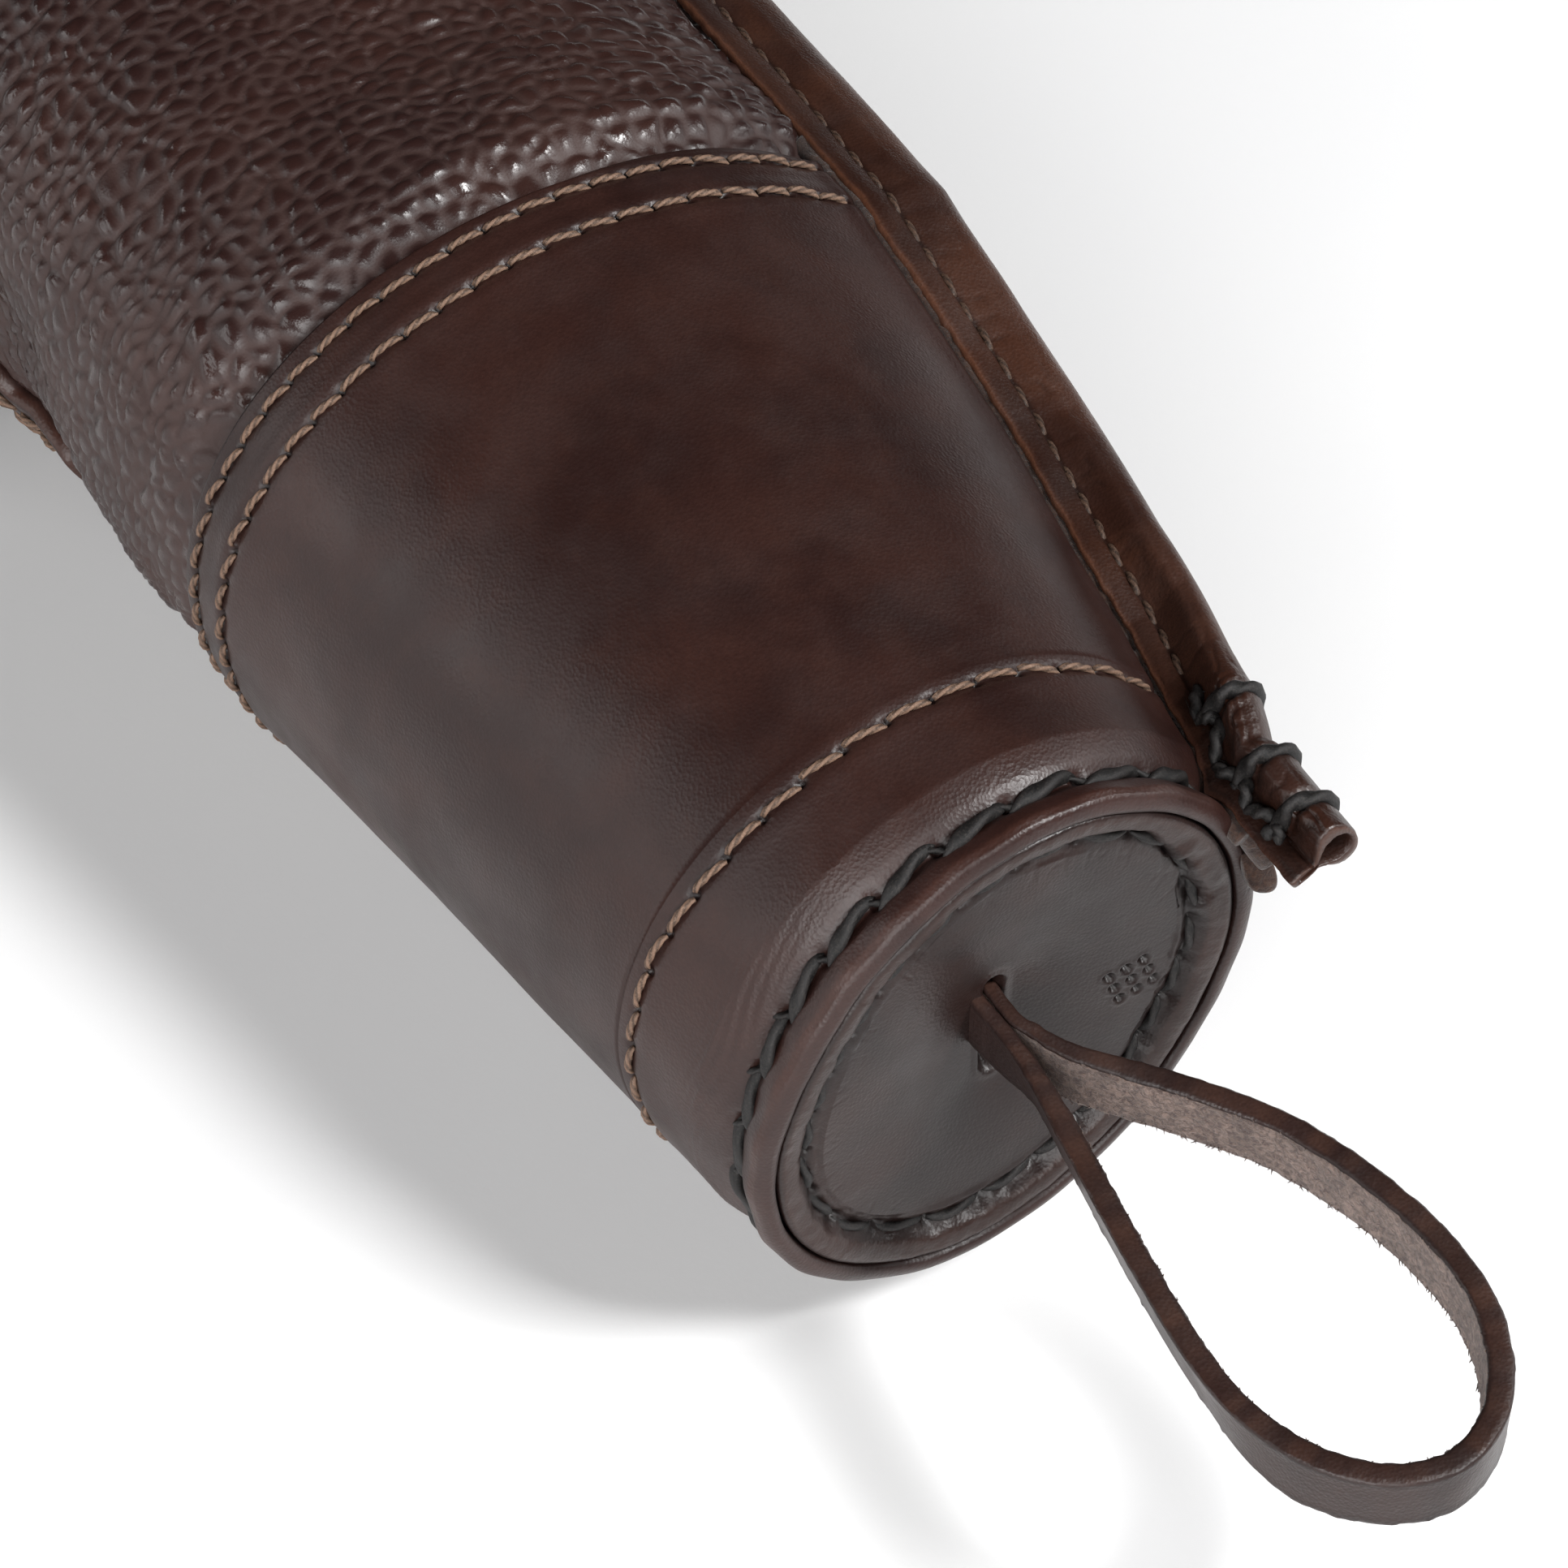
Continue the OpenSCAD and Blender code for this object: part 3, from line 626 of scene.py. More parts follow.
def body_relief(d, a):
    """Height of the body's leather over the plain skin, and its crease mark."""
    p = skin(d, a)
    across = a * 46.0
    u = d + 1.3 * noise(p, 9, 41) + 0.5 * noise(p, 3, 42)
    v = across + 1.3 * noise(p, 9, 43) + 0.5 * noise(p, 3, 44)
    first, second, tone = pebbles(u, v * 0.74, 2.6, 11)
    dome = 1 - (1 - np.clip((second - first) / 0.95, 0, 1)) ** 1.7
    first_b, second_b, _ = pebbles(u + 40, v * 0.8, 7.0, 17)
    fold_b = 1 - np.clip((second_b - first_b) / 0.12, 0, 1)
    strength = 0.8 + 0.3 * noise(p, 22, 19)
    h = 0.72 * dome * strength + 0.22 * (tone - 0.5) * dome - 0.34 * fold_b
    wave = noise(np.stack([d / 1.0, across / 2.2, 0 * d], -1), 12, 23, 2)
    wrinkle = np.clip(1 - np.abs(wave) / 0.10, 0, 1)
    reach = smooth((150 - d) / 50)
    h -= 0.28 * wrinkle * reach
    h += 0.9 * noise(p, 42, 27, 2) * smooth((d - 104) / 18) * smooth((LENGTH - 34 - d) / 14)
    h += 0.35 * noise(p, 15, 29, 2) * smooth((d - 101) / 8) * smooth((LENGTH - 34 - d) / 10)
    past = d - SLEEVE_EDGE
    swell = smooth((past + 0.4) / 9.0) * (1 - 0.75 * smooth((past - 14) / 34))
    share = 0.25 + 0.55 * bell(a, 92 * DEG, 34 * DEG) + 0.30 * noise(p, 26, 33)
    lift = -2.35 + (2.35 + 1.9 * share) * swell
    lift = np.where(past > 9, np.maximum(lift, 0.0), lift)
    far = FAR_EDGE - d
    far_swell = smooth((far + 0.4) / 4.0)
    lift = np.where(d > 230, -2.35 + 2.35 * far_swell + 0.5 * bell(far, 7, 5), lift)
    return h * smooth((past + 1) / 2) * smooth((far + 1) / 2) + lift, 1 - dome + 0.6 * wrinkle * reach


def build_body():
    stations = np.unique(np.concatenate([
        np.arange(94.0, 190.0, 0.42), np.arange(190.0, FAR_EDGE - 8, 0.75), np.arange(FAR_EDGE - 8, FAR_EDGE + 7, 0.5)]))
    m = 640
    a = np.linspace(SLOT_HIGH, SLOT_LOW + 2 * math.pi, m)
    d = stations[:, None] * np.ones(m)
    angle = a[None] * np.ones_like(d)
    lift, mark = body_relief(d, angle)
    side = np.minimum(angle - SLOT_HIGH, SLOT_LOW + 2 * math.pi - angle) * 46
    lift = lift - 0.5 * (1 - smooth(side / 1.0))
    outer = skin(d, angle, lift)
    back = np.arange(m)[::-1]
    inner = skin(d[:, back], angle[:, back], -2.3 + 0.2 * np.minimum(lift[:, back], 0) , 1.9)
    deep = lift[:, back] < -1
    inner = np.where(deep[..., None], skin(d[:, back], angle[:, back], -3.6, 2.2), inner)
    p = np.concatenate([outer, inner], axis=1)
    pinch = 0.5 * (outer[[0, -1]] + inner[[0, -1], ::-1])
    pinch = np.concatenate([pinch, pinch[:, ::-1]], axis=1)
    p = np.concatenate([pinch[:1], p, pinch[1:]])
    shade = np.concatenate([mark, np.ones_like(d[:, back])], axis=1)
    shade = np.concatenate([shade[:1], shade, shade[-1:]])
    shape = Shape()
    shape.grid(p, wrap_v=True, mark=shade)
    return shape.build("body_skin", BODY, "case", "pebbled_leather", ("body_panel",))


build_sleeve()
build_body()


def stitches(name, holes, station, lift, thread_r, material, slot, replaced=(), body="case", slant=0.35, rise=0.55):
    """A row of separate stitches round the case, each dipping into its holes."""
    shape = Shape()
    t = np.linspace(0, 1, 11)
    rng = np.random.default_rng(5)
    for i in range(len(holes) - 1):
        gap = (holes[i + 1] - holes[i]) * 0.06
        a = np.interp(t, [0, 1], [holes[i] + gap, holes[i + 1] - gap])
        tilt = slant * (1 + 0.5 * rng.standard_normal())
        d = station(a) + tilt * (t - 0.5) * 2 + 0.12 * rng.standard_normal()
        high = (1 - (2 * t - 1) ** 4) * (rise + 0.08 * rng.standard_normal()) - 0.62
        path = skin(d, a, lift + high, 0.45)
        centre = np.stack([path[:, 0], np.zeros(len(t)), np.full(len(t), AXIS_H)], -1)
        shape.tube(path, thread_r * (0.7 + 0.3 * np.sin(math.pi * t) ** 0.5), 9, up=path - centre, lobes=3, turns=0.9)
    return shape.build(name, material, body, slot, replaced)


for ring_name in ("s1", "a", "b"):
    stitches(
        f"sleeve_stitches_{ring_name}", RINGS[ring_name], lambda a, r=ring_name: ring_station(r, a), 0.28, 0.40,
        LINEN, "linen_thread", ("sleeve_stitches",) if ring_name == "s1" else ())


# ---------------------------------------------------------------- small end cap
CAP_D = 24
SLIT_Y, SLIT_TOP, SLIT_LOW_Z = 0.9, 4.6, -8.5


def cap_rows():
    """(inset from the rim's skin, depth behind the rim, crease mark: painted shade in the crevice and fold where above
    0, lighter wear on the crest where below 0) from the back of the cap to the fold of its wall.
    """
    back = [(9.5, 8.0, 0.3), (5.2, 7.6, 0.3), (2.75, 6.5, 0.3), (2.62, 4.0, 1.0)]
    wall = [
        (2.52, 1.6, 1.0), (2.50, 0.8, 0.6), (2.62, 0.4, 0.2), (3.00, 0.20, -0.4), (3.4, 0.16, -0.6), (3.8, 0.18, -0.5),
        (4.3, 0.26, -0.45), (4.8, 0.38, -0.5), (5.2, 0.62, -0.6), (5.5, 1.0, -0.3), (5.8, 1.5, 0.1), (6.1, 1.95, 0.5),
        (6.5, 2.25, 0.9), (6.9, 2.35, 1.0), (7.3, 2.25, 0.6), (7.7, 2.05, 0.3), (8.1, 1.9, 0.1), (8.5, 1.85, 0.0)]
    return back, wall


def slit_distance(y, z):
    return np.hypot(y - SLIT_Y - 0.03 * (z + 2), np.maximum(np.maximum(z - SLIT_TOP, SLIT_LOW_Z - z), 0))


def stamp(y, z):
    """A pricked diamond of nine dots."""
    h = np.zeros_like(y)
    turn = 62 * DEG
    u = (y - 17.0) * math.cos(turn) + (z + 1.0) * math.sin(turn)
    v = -(y - 17.0) * math.sin(turn) + (z + 1.0) * math.cos(turn)
    for i in range(3):
        for j in range(3):
            du, dv = u - (i - j) * 1.45, v - (i + j - 2) * 1.6
            r = np.hypot(du, dv)
            h -= 0.85 * np.exp(-((r / 0.5) ** 2)) - 0.12 * bell(r, 0.95, 0.25)
    return h


def build_cap():
    m = 720
    a = np.arange(m) / m * 2 * math.pi
    rim = skin_r(0.0, a)
    back, wall = cap_rows()
    rows, marks = [], []
    phase = (a - RIM_TURN[0]) / (2 * math.pi) * RIM_STITCHES
    hole = np.minimum(phase % 1.0, 1 - phase % 1.0) * 7.0
    messy = smooth(1 - np.abs(((a - 33 * DEG + math.pi) % (2 * math.pi)) - math.pi) / 0.55)

    def ring(inset, depth, mark, scale=None):
        r = rim - inset if scale is None else (rim - 8.6) * scale
        y, z = r * np.cos(a), r * np.sin(a)
        x = -depth * np.ones(m)
        place = np.stack([x * 1.6, y, z], -1)
        fold = bell(inset, 6.0, 1.3)
        gather = noise(np.stack([a * 14, 0 * a + inset * 0.5, 0 * a], -1), 1.0, 61)
        lump = noise(np.stack([a * 5, 0 * a + inset * 0.25, 0 * a], -1), 1.0, 63, 2)
        if inset < 9 and depth < 5:
            prick = np.exp(-((hole / 0.7) ** 2)) * bell(inset, 6.8, 0.7)
            r = r - 0.30 * gather * fold - 0.25 * lump * smooth((inset - 2.9) / 1.5)
            x = x - 0.9 * prick
            r = r - messy * (0.9 * fold + 0.5 * lump) * smooth((inset - 3.5) / 2)
            x = x + crest(a) * 0.5 + 0.18 * lump * bell(inset, 3.9, 1.3) + 0.25 * gather * bell(inset, 6.6, 0.9)
            x = x + messy * 0.8 * gather * bell(inset, 5.6, 1.6)
            x = x + 0.16 * noise(place, 1.3, 62, 2) * smooth((inset - 2.6) / 0.6)
            y, z = r * np.cos(a), r * np.sin(a)
            # Stitch pricks and the gathers of the fold are marked darker: painted shade.
            mark = mark + 0.9 * prick + 0.25 * np.clip(gather, 0, 1) * fold
        if scale is not None:
            x = x + 0.12 * noise(place, 9, 65, 2) + 0.35 * noise(place, 26, 66)
            slit = slit_distance(y, z)
            x = x - 2.5 * np.exp(-((slit / 7.0) ** 1.4)) - 2.2 * np.exp(-((slit / 0.75) ** 2))
            x = x + 0.35 * bell(slit, 1.5, 0.6)
            x = x + stamp(y, z)
            worn = noise(place, 12, 67, 2)
            edge = smooth((scale - 0.86) / 0.14)
            # Marked darker in the slit and in the stamp's pricked dots: painted shade; lighter near the face's edge:
            # wear.
            mark = mark + 1.0 * np.exp(-((slit / 1.0) ** 2)) + 0.9 * np.clip(-stamp(y, z) / 0.4, 0, 1) - 0.5 * edge * np.clip(worn, 0, 1)
            x = x - 0.09 * np.clip(1 - np.abs(noise(np.stack([a * 9, 0 * a + scale * 5, 0 * a], -1), 1.0, 69, 2)) / 0.12, 0, 1) * edge
        return np.stack([RIM_X + x, y, AXIS_H + z], -1), mark * np.ones(m)

    for share in (0.004, 0.5, 0.9):
        r = (rim - 9.5) * share
        rows.append(np.stack([np.full(m, RIM_X - 8.2), r * np.cos(a), AXIS_H + r * np.sin(a)], -1))
        marks.append(np.full(m, 0.3))
    for inset, depth, mark in back + wall:
        p, k = ring(inset, depth, mark)
        rows.append(p)
        marks.append(k)
    share = 1 - np.concatenate([np.linspace(0.006, 1, 110) ** 1.0])
    share = np.clip(share, 0.003, 1)
    for f in share:
        depth = 1.85 + 0.15 * smooth((1 - f) / 0.3) + 1.5 * smooth((0.85 - f) / 0.85)
        p, k = ring(9.0, depth, 0.0, f)
        rows.append(p)
        marks.append(k)
    shape = Shape().grid(np.stack(rows), wrap_v=True, caps=True, mark=np.stack(marks))
    return shape.build("end_cap_leather", CAP, "case", "cap_leather", ("end_cap",))


def build_rim_thread():
    """Thick waxed saddle stitches in the groove outside the rim, each end under the next one."""
    shape = Shape()
    step = 2 * math.pi / RIM_STITCHES
    t = np.linspace(0, 1, 17)
    rng = np.random.default_rng(11)
    for i in range(RIM_STITCHES):
        a0 = RIM_TURN[0] + i * step
        if abs(((a0 - 33 * DEG + math.pi) % (2 * math.pi)) - math.pi) < 0.12:
            continue
        a = a0 + step * np.interp(t, [0, 1], [-0.03, 1.06])
        d = 5.9 - 2.1 * t + 0.25 * rng.standard_normal()
        high = -0.9 + (1.2 + 0.2 * rng.standard_normal()) * np.sin(math.pi * t) ** 0.7
        path = skin(d, a, high)
        path[:, 0] += crest(a) * 0.5
        centre = np.stack([path[:, 0], np.zeros(len(t)), np.full(len(t), AXIS_H)], -1)
        radius = 0.22 + (0.66 + 0.08 * rng.standard_normal()) * np.sin(math.pi * t) ** 0.75
        shape.tube(path, radius, 12, up=path - centre, flat=0.85, lobes=2, turns=0.8)
        b = a0 + step * np.linspace(-0.10, 0.16, 9)
        path = skin(np.linspace(4.1, 6.0, 9), b, -0.55 + 0.5 * np.sin(math.pi * np.linspace(0, 1, 9)))
        centre = np.stack([path[:, 0], np.zeros(9), np.full(9, AXIS_H)], -1)
        shape.tube(path, 0.34, 9, up=path - centre, lobes=3, turns=0.6)
    return shape.build("rim_thread_outside", WAXED, "case", "waxed_thread", ("end_rim_thread",))


def build_inner_thread():
    shape = Shape()
    step = 2 * math.pi / RIM_STITCHES
    t = np.linspace(0, 1, 13)
    rng = np.random.default_rng(12)
    for i in range(RIM_STITCHES):
        a0 = RIM_TURN[0] + i * step
        a = a0 + step * np.interp(t, [0, 1], [0.06, 0.94])
        depth = 2.75 - 0.75 * np.sin(math.pi * t) ** 0.6
        inset = 6.7 + 0.5 * (t - 0.5) + 0.12 * rng.standard_normal()
        r = skin_r(0.0, a) - inset
        path = np.stack([RIM_X - depth + crest(a) * 0.5, r * np.cos(a), AXIS_H + r * np.sin(a)], -1)
        up = np.stack([0 * a + 1.0, 0 * a, 0 * a], -1)
        radius = 0.18 + 0.40 * np.sin(math.pi * t) ** 0.6
        shape.tube(path, radius, 10, up=up, lobes=2, turns=0.7)
    return shape.build("rim_thread_inside", WAXED, "case", "waxed_thread")


# ---------------------------------------------------------------- hanging loop
def round_path(points, count):
    """A smooth path through points, evenly stepped."""
    points = np.asarray(points, float)
    n = len(points)
    padded = np.vstack([2 * points[0] - points[1], points, 2 * points[-1] - points[-2]])
    fine = []
    for i in range(n - 1):
        p0, p1, p2, p3 = padded[i:i + 4]
        t = np.linspace(0, 1, 24, endpoint=False)[:, None]
        fine.append(0.5 * (2 * p1 + (p2 - p0) * t + (2 * p0 - 5 * p1 + 4 * p2 - p3) * t**2 + (3 * p1 - p0 - 3 * p2 + p3) * t**3))
    fine.append(points[-1:])
    fine = np.vstack(fine)
    length = np.concatenate([[0], np.cumsum(np.linalg.norm(np.diff(fine, axis=0), axis=1))])
    at = np.linspace(0, length[-1], count)
    return np.stack([np.interp(at, length, fine[:, k]) for k in range(points.shape[1])], -1)


LOOP_TOP_EDGE = [
    (-6.5, 1.9), (-3, 1.9), (-0.8, 2.0), (1.8, 3.0), (6.0, 5.2), (15.7, 13.2), (25.8, 19.6), (39.0, 23.7), (51.8, 24.4),
    (60.8, 21.5), (67.2, 16.4), (70.2, 9.2), (68.4, 1.9), (62.7, -3.9), (54.4, -7.2), (45.2, -7.8), (31.1, -6.2),
    (16.3, -3.9), (5.9, -2.2), (-0.8, -1.7), (-3, -1.8), (-6.5, -1.8)]


def build_loop():
    n = 420
    outline = round_path(LOOP_TOP_EDGE, n)
    tangent = np.gradient(outline, axis=0)
    tangent /= np.linalg.norm(tangent, axis=1)[:, None]
    inward = np.stack([tangent[:, 1], -tangent[:, 0]], -1)
    s = np.linspace(0, 1, n)
    ends = np.minimum(s, 1 - s)
    thick = 1.75 + 1.0 * smooth((ends - 0.02) / 0.12)
    half = 3.75 - 0.15 * smooth(1 - ends / 0.05)
    lean = 0.26 * smooth((s - 0.60) / 0.10) * smooth((0.985 - s) / 0.06)
    section = [(0.30, -1.0, 2), (0.10, -0.985, 2), (0.0, -0.93, 0)]
    section += [(-0.012, v, 0) for v in np.linspace(-0.86, -0.78, 2)]
    section += [(0.0, v, 0) for v in np.linspace(-0.68, 0.68, 9)]
    section += [(-0.012, 0.78, 0), (-0.012, 0.86, 0), (0.0, 0.93, 0), (0.10, 0.985, 2), (0.30, 1.0, 2), (0.55, 1.0, 2)]
    section += [(0.80, 0.99, 2), (0.95, 0.955, 2)]
    section += [(1.0, v, 1) for v in np.linspace(0.86, -0.86, 11)]
    section += [(0.95, -0.955, 2), (0.80, -0.99, 2), (0.55, -1.0, 2)]
    depth = np.array([q[0] for q in section])
    across = np.array([q[1] for q in section])
    paint = np.array([1 if q[2] == 1 else 0 for q in section])
    place = np.stack([outline[:, :1] + 0 * across, outline[:, 1:] + 0 * across, half[:, None] * across], -1)
    edge_wear = 0.18 * noise(place, 1.1, 71, 2) * (np.abs(across) > 0.9)
    face = (depth > 0.97)[None] * 0.15 * noise(place, 0.8, 73, 2)
    bulge = 0.05 * noise(place, 8, 75, 2)
    inset = depth[None] * thick[:, None] + edge_wear + face + bulge
    z = half[:, None] * across[None] * (1 + 0.012 * noise(place, 2.2, 77))
    inset = inset + lean[:, None] * (half[:, None] - z)
    x = outline[:, :1] + inward[:, :1] * inset
    y = outline[:, 1:] + inward[:, 1:] * inset
    p = np.stack([RIM_X + x, y, AXIS_H + z], -1)
    mark = np.where((np.abs(across) > 0.97)[None], -0.35 + 0.5 * noise(place, 1.5, 79), 0.0)
    mark = mark + 0.5 * (np.abs(np.abs(across) - 0.82) < 0.05)[None]
    shape = Shape()
    shape.grid(p, wrap_v=True, caps=True, mark=mark, paint=np.tile(paint, (n, 1)))
    rng = np.random.default_rng(21)
    inner = p[:, [i for i, q in enumerate(section) if q[2] == 1][-1]]
    top_inner = p[:, [i for i, q in enumerate(section) if q[2] == 1][0]]
    for k in range(420):
        i = int(rng.uniform(0.05, 0.93) * n)
        low = rng.random() < 0.75
        start = (inner if low else top_inner)[i] + np.array([0, 0, 0.15 if low else -0.15])
        along = np.array([tangent[i, 0], tangent[i, 1], 0]) * rng.normal(0.0, 0.55)
        drop = np.array([inward[i, 0] * rng.uniform(-0.1, 0.35), inward[i, 1] * rng.uniform(-0.1, 0.35), -1.0 if low else 1.0])
        size = rng.uniform(0.25, 0.75) * (1.0 if low else 0.6)
        t = np.linspace(0, 1, 4)[:, None]
        path = start + (drop + along * t) * size * t
        shape.tube(path, [0.10, 0.085, 0.06, 0.025], 4, up=(1, 0.3, 0.2), paint=1)
    thing = shape.build("loop_strap", STRAP, None, "strap_leather", ("hanging_loop", "loop_root"), extra=(SUEDE,))
    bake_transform(thing)
    return thing


# ---------------------------------------------------------------- flap
FLAP_D0 = -9.5
FLAP_D1 = 345.0


def over_slider(d):
    """1 where the flap must clear the zip's slider."""
    return smooth((d - 84) / 24)


def flap_frame(d):
    """Root, outward direction and width of the flap at stations d."""
    d = np.asarray(d, float)
    held = np.maximum(d, 0)
    a = root_angle(held)
    a = np.where(held > 110, np.interp(held, [110, 140], [39.7 * DEG, 39.7 * DEG]), a)
    root = skin(held, a, 0.55)
    root[..., 0] = RIM_X - d
    lean = np.interp(d, [-10, 0, 10, 20, 30, 40, 60, 100], [30, 30, 22, 10, 0, -8, -20, -23]) * DEG
    lean = lean + 1.5 * DEG * over_slider(d)
    width = np.interp(d, [-10, 0, 10, 20, 30, 40, 60, 100], [8.7, 8.9, 9.0, 9.3, 9.7, 10.4, 11.9, 13.2])
    out = np.stack([0 * d, np.cos(lean), np.sin(lean)], -1)
    top = np.stack([0 * d, -np.sin(lean), np.cos(lean)], -1)
    return root, out, top, width


STITCH_AT = 0.33


def flap_section(d, t):
    """Local (out, top) of the folded flap; t runs from the raw edge over the fold and back beneath."""
    _, _, _, width = flap_frame(d)
    width = width[:, None]
    round_ = smooth((70 - d) / 50)[:, None]
    tight = np.zeros_like(width)
    for x in WRAPS:
        tight = tight + bell(d, RIM_X - x, 0.9)[:, None]
    u = np.where(t < 0.5, t * 2, 2 - t * 2)
    fold = 1.55 + 2.25 * round_
    bulge = fold * np.sqrt(np.clip(1 - np.clip((u - 0.74) / 0.26, 0, 1) ** 2, 0, 1))
    rise = 0.55 + (bulge - 0.55) * smooth((u - STITCH_AT) / 0.33)
    rise = rise + 0.30 * bell(u, 0.16, 0.14) - 0.22 * bell(u, STITCH_AT, 0.03)
    rise = rise * (1 - 0.36 * tight * (u > 0.4))
    side = np.where(t < 0.5, 1.0, -0.9 + 0.45 * over_slider(d)[:, None])
    reach = width * u * (1 - 0.05 * tight * (u > 0.6))
    return reach, rise * side


WRAPS = (RIM_X - 11.5, RIM_X - 2.2, RIM_X + 5.2)


def build_flap():
    stations = np.unique(np.concatenate([np.arange(-10.0, 30, 0.3), np.arange(30, 170, 0.6), np.arange(170, FLAP_D1, 1.0)]))
    n, m = len(stations), 96
    root, out, top, width = flap_frame(stations)
    t = np.concatenate([np.linspace(0, 0.5, m // 2, endpoint=False), np.linspace(0.5, 1, m // 2)])
    t = 0.5 + 0.5 * np.sign(t - 0.5) * (np.abs(t - 0.5) * 2) ** 0.9
    tt = np.tile(t, (n, 1))
    reach, rise = flap_section(stations, tt)
    base = root[:, None] + out[:, None] * reach[..., None] + top[:, None] * rise[..., None]
    cross = noise(np.stack([stations[:, None] / 1.0 + 0 * tt, tt * 14, 0 * tt], -1), 3.2, 81, 2)
    ridge = np.clip(1 - np.abs(cross) / 0.16, 0, 1)
    u = np.where(tt < 0.5, tt * 2, 2 - tt * 2)
    creased = smooth((140 - stations) / 60)[:, None] * bell(u, STITCH_AT + 0.16, 0.22)
    relief = -0.16 * ridge * creased + 0.22 * noise(base, 11, 83, 2) * smooth(u / 0.4)
    near = smooth((24 - stations) / 10)[:, None]
    relief = relief - 0.18 * ridge * near * smooth((u - 0.35) / 0.2)
    ragged = 0.30 * noise(base, 1.6, 85, 2) * (u < 0.06)
    side = np.where(tt < 0.5, 1.0, -1.0)
    base = base + top[:, None] * (relief * side)[..., None] + out[:, None] * ragged[..., None]
    # Marked darker along the stitch line and in the creases: painted shade; lighter on the raw edge: wear; lighter
    # towards the fold; darker from the raw edge to the stitch line.
    mark = 0.9 * bell(u, STITCH_AT, 0.035) + 0.55 * ridge * creased - 0.7 * bell(u, 0.0, 0.04) - 0.25 * bell(u, 0.92, 0.2)
    mark = mark + 0.35 * smooth((STITCH_AT - u) / 0.1) * (u > 0.06)
    tied = smooth((26 - stations) / 14)[:, None]
    pleat = np.clip(1 - np.abs(noise(np.stack([stations[:, None] / 3.5 + 0 * tt, tt * 20, 0 * tt], -1), 1.6, 89, 2)) / 0.2, 0, 1)
    base = base - top[:, None] * (0.22 * pleat * tied * side * smooth((u - 0.3) / 0.2))[..., None]
    # The tied end is marked darker overall, and more in its pleats: painted shade in the pleats.
    mark = mark + tied * (0.30 + 0.35 * pleat)
    shape = Shape()
    hollow = []
    for k, (shrink, at) in enumerate(((0.97, -10.25), (0.90, -10.45), (0.82, -10.3), (0.78, -9.6), (0.76, -7.5), (0.70, -4.0))):
        local = base[0] - root[0]
        mid = local.mean(0) * np.array([0, 1, 1]) + out[0] * 1.2
        ring = root[0] + mid + (local - mid) * np.array([0, 1, 1]) * np.array([1, shrink, shrink])
        squeeze = (ring - root[0] - mid) @ top[0]
        ring = ring - np.outer(squeeze, top[0]) * (0.35 if shrink < 0.95 else 0.08)
        ring[:, 0] = RIM_X - at
        hollow.append(ring)
    p = np.concatenate([np.stack(hollow[::-1]), base])
    # The hollow end is marked darker inside: painted shade.
    marks = np.concatenate([np.array([1.0, 1.0, 0.6, 0.1, -0.2, -0.4])[:, None] * np.ones(m), mark])
    shape.grid(p, wrap_v=True, caps=True, mark=marks)
    thing = shape.build("flap_leather", FLAP, None, "flap_leather", ("flap_panel", "flap_tied_end"))
    bend_flap(thing)
    return thing


def bend_flap(thing):
    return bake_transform(thing)


def build_flap_stitches():
    shape = Shape()
    rng = np.random.default_rng(31)
    t = np.linspace(0, 1, 9)
    d = 20.0
    while d < FLAP_D1 - 5:
        step = 4.3 + 0.25 * rng.standard_normal()
        at = d + step * np.interp(t, [0, 1], [0.07, 0.93])
        root, out, top, width = flap_frame(at)
        reach = width * STITCH_AT + 0.22 * (t - 0.5) * 2 + 0.08 * rng.standard_normal()
        high = -0.15 + (0.62 + 0.08 * rng.standard_normal()) * (1 - (2 * t - 1) ** 4)
        path = root + out * reach[:, None] + top * high[:, None]
        shape.tube(path, 0.42 * (0.65 + 0.35 * np.sin(math.pi * t) ** 0.5), 9, up=top, lobes=3, turns=0.8)
        d += step
    thing = shape.build("flap_stitches_sewn", DARK_LINEN, None, "linen_thread", ("flap_stitches",))
    return bend_flap(thing)


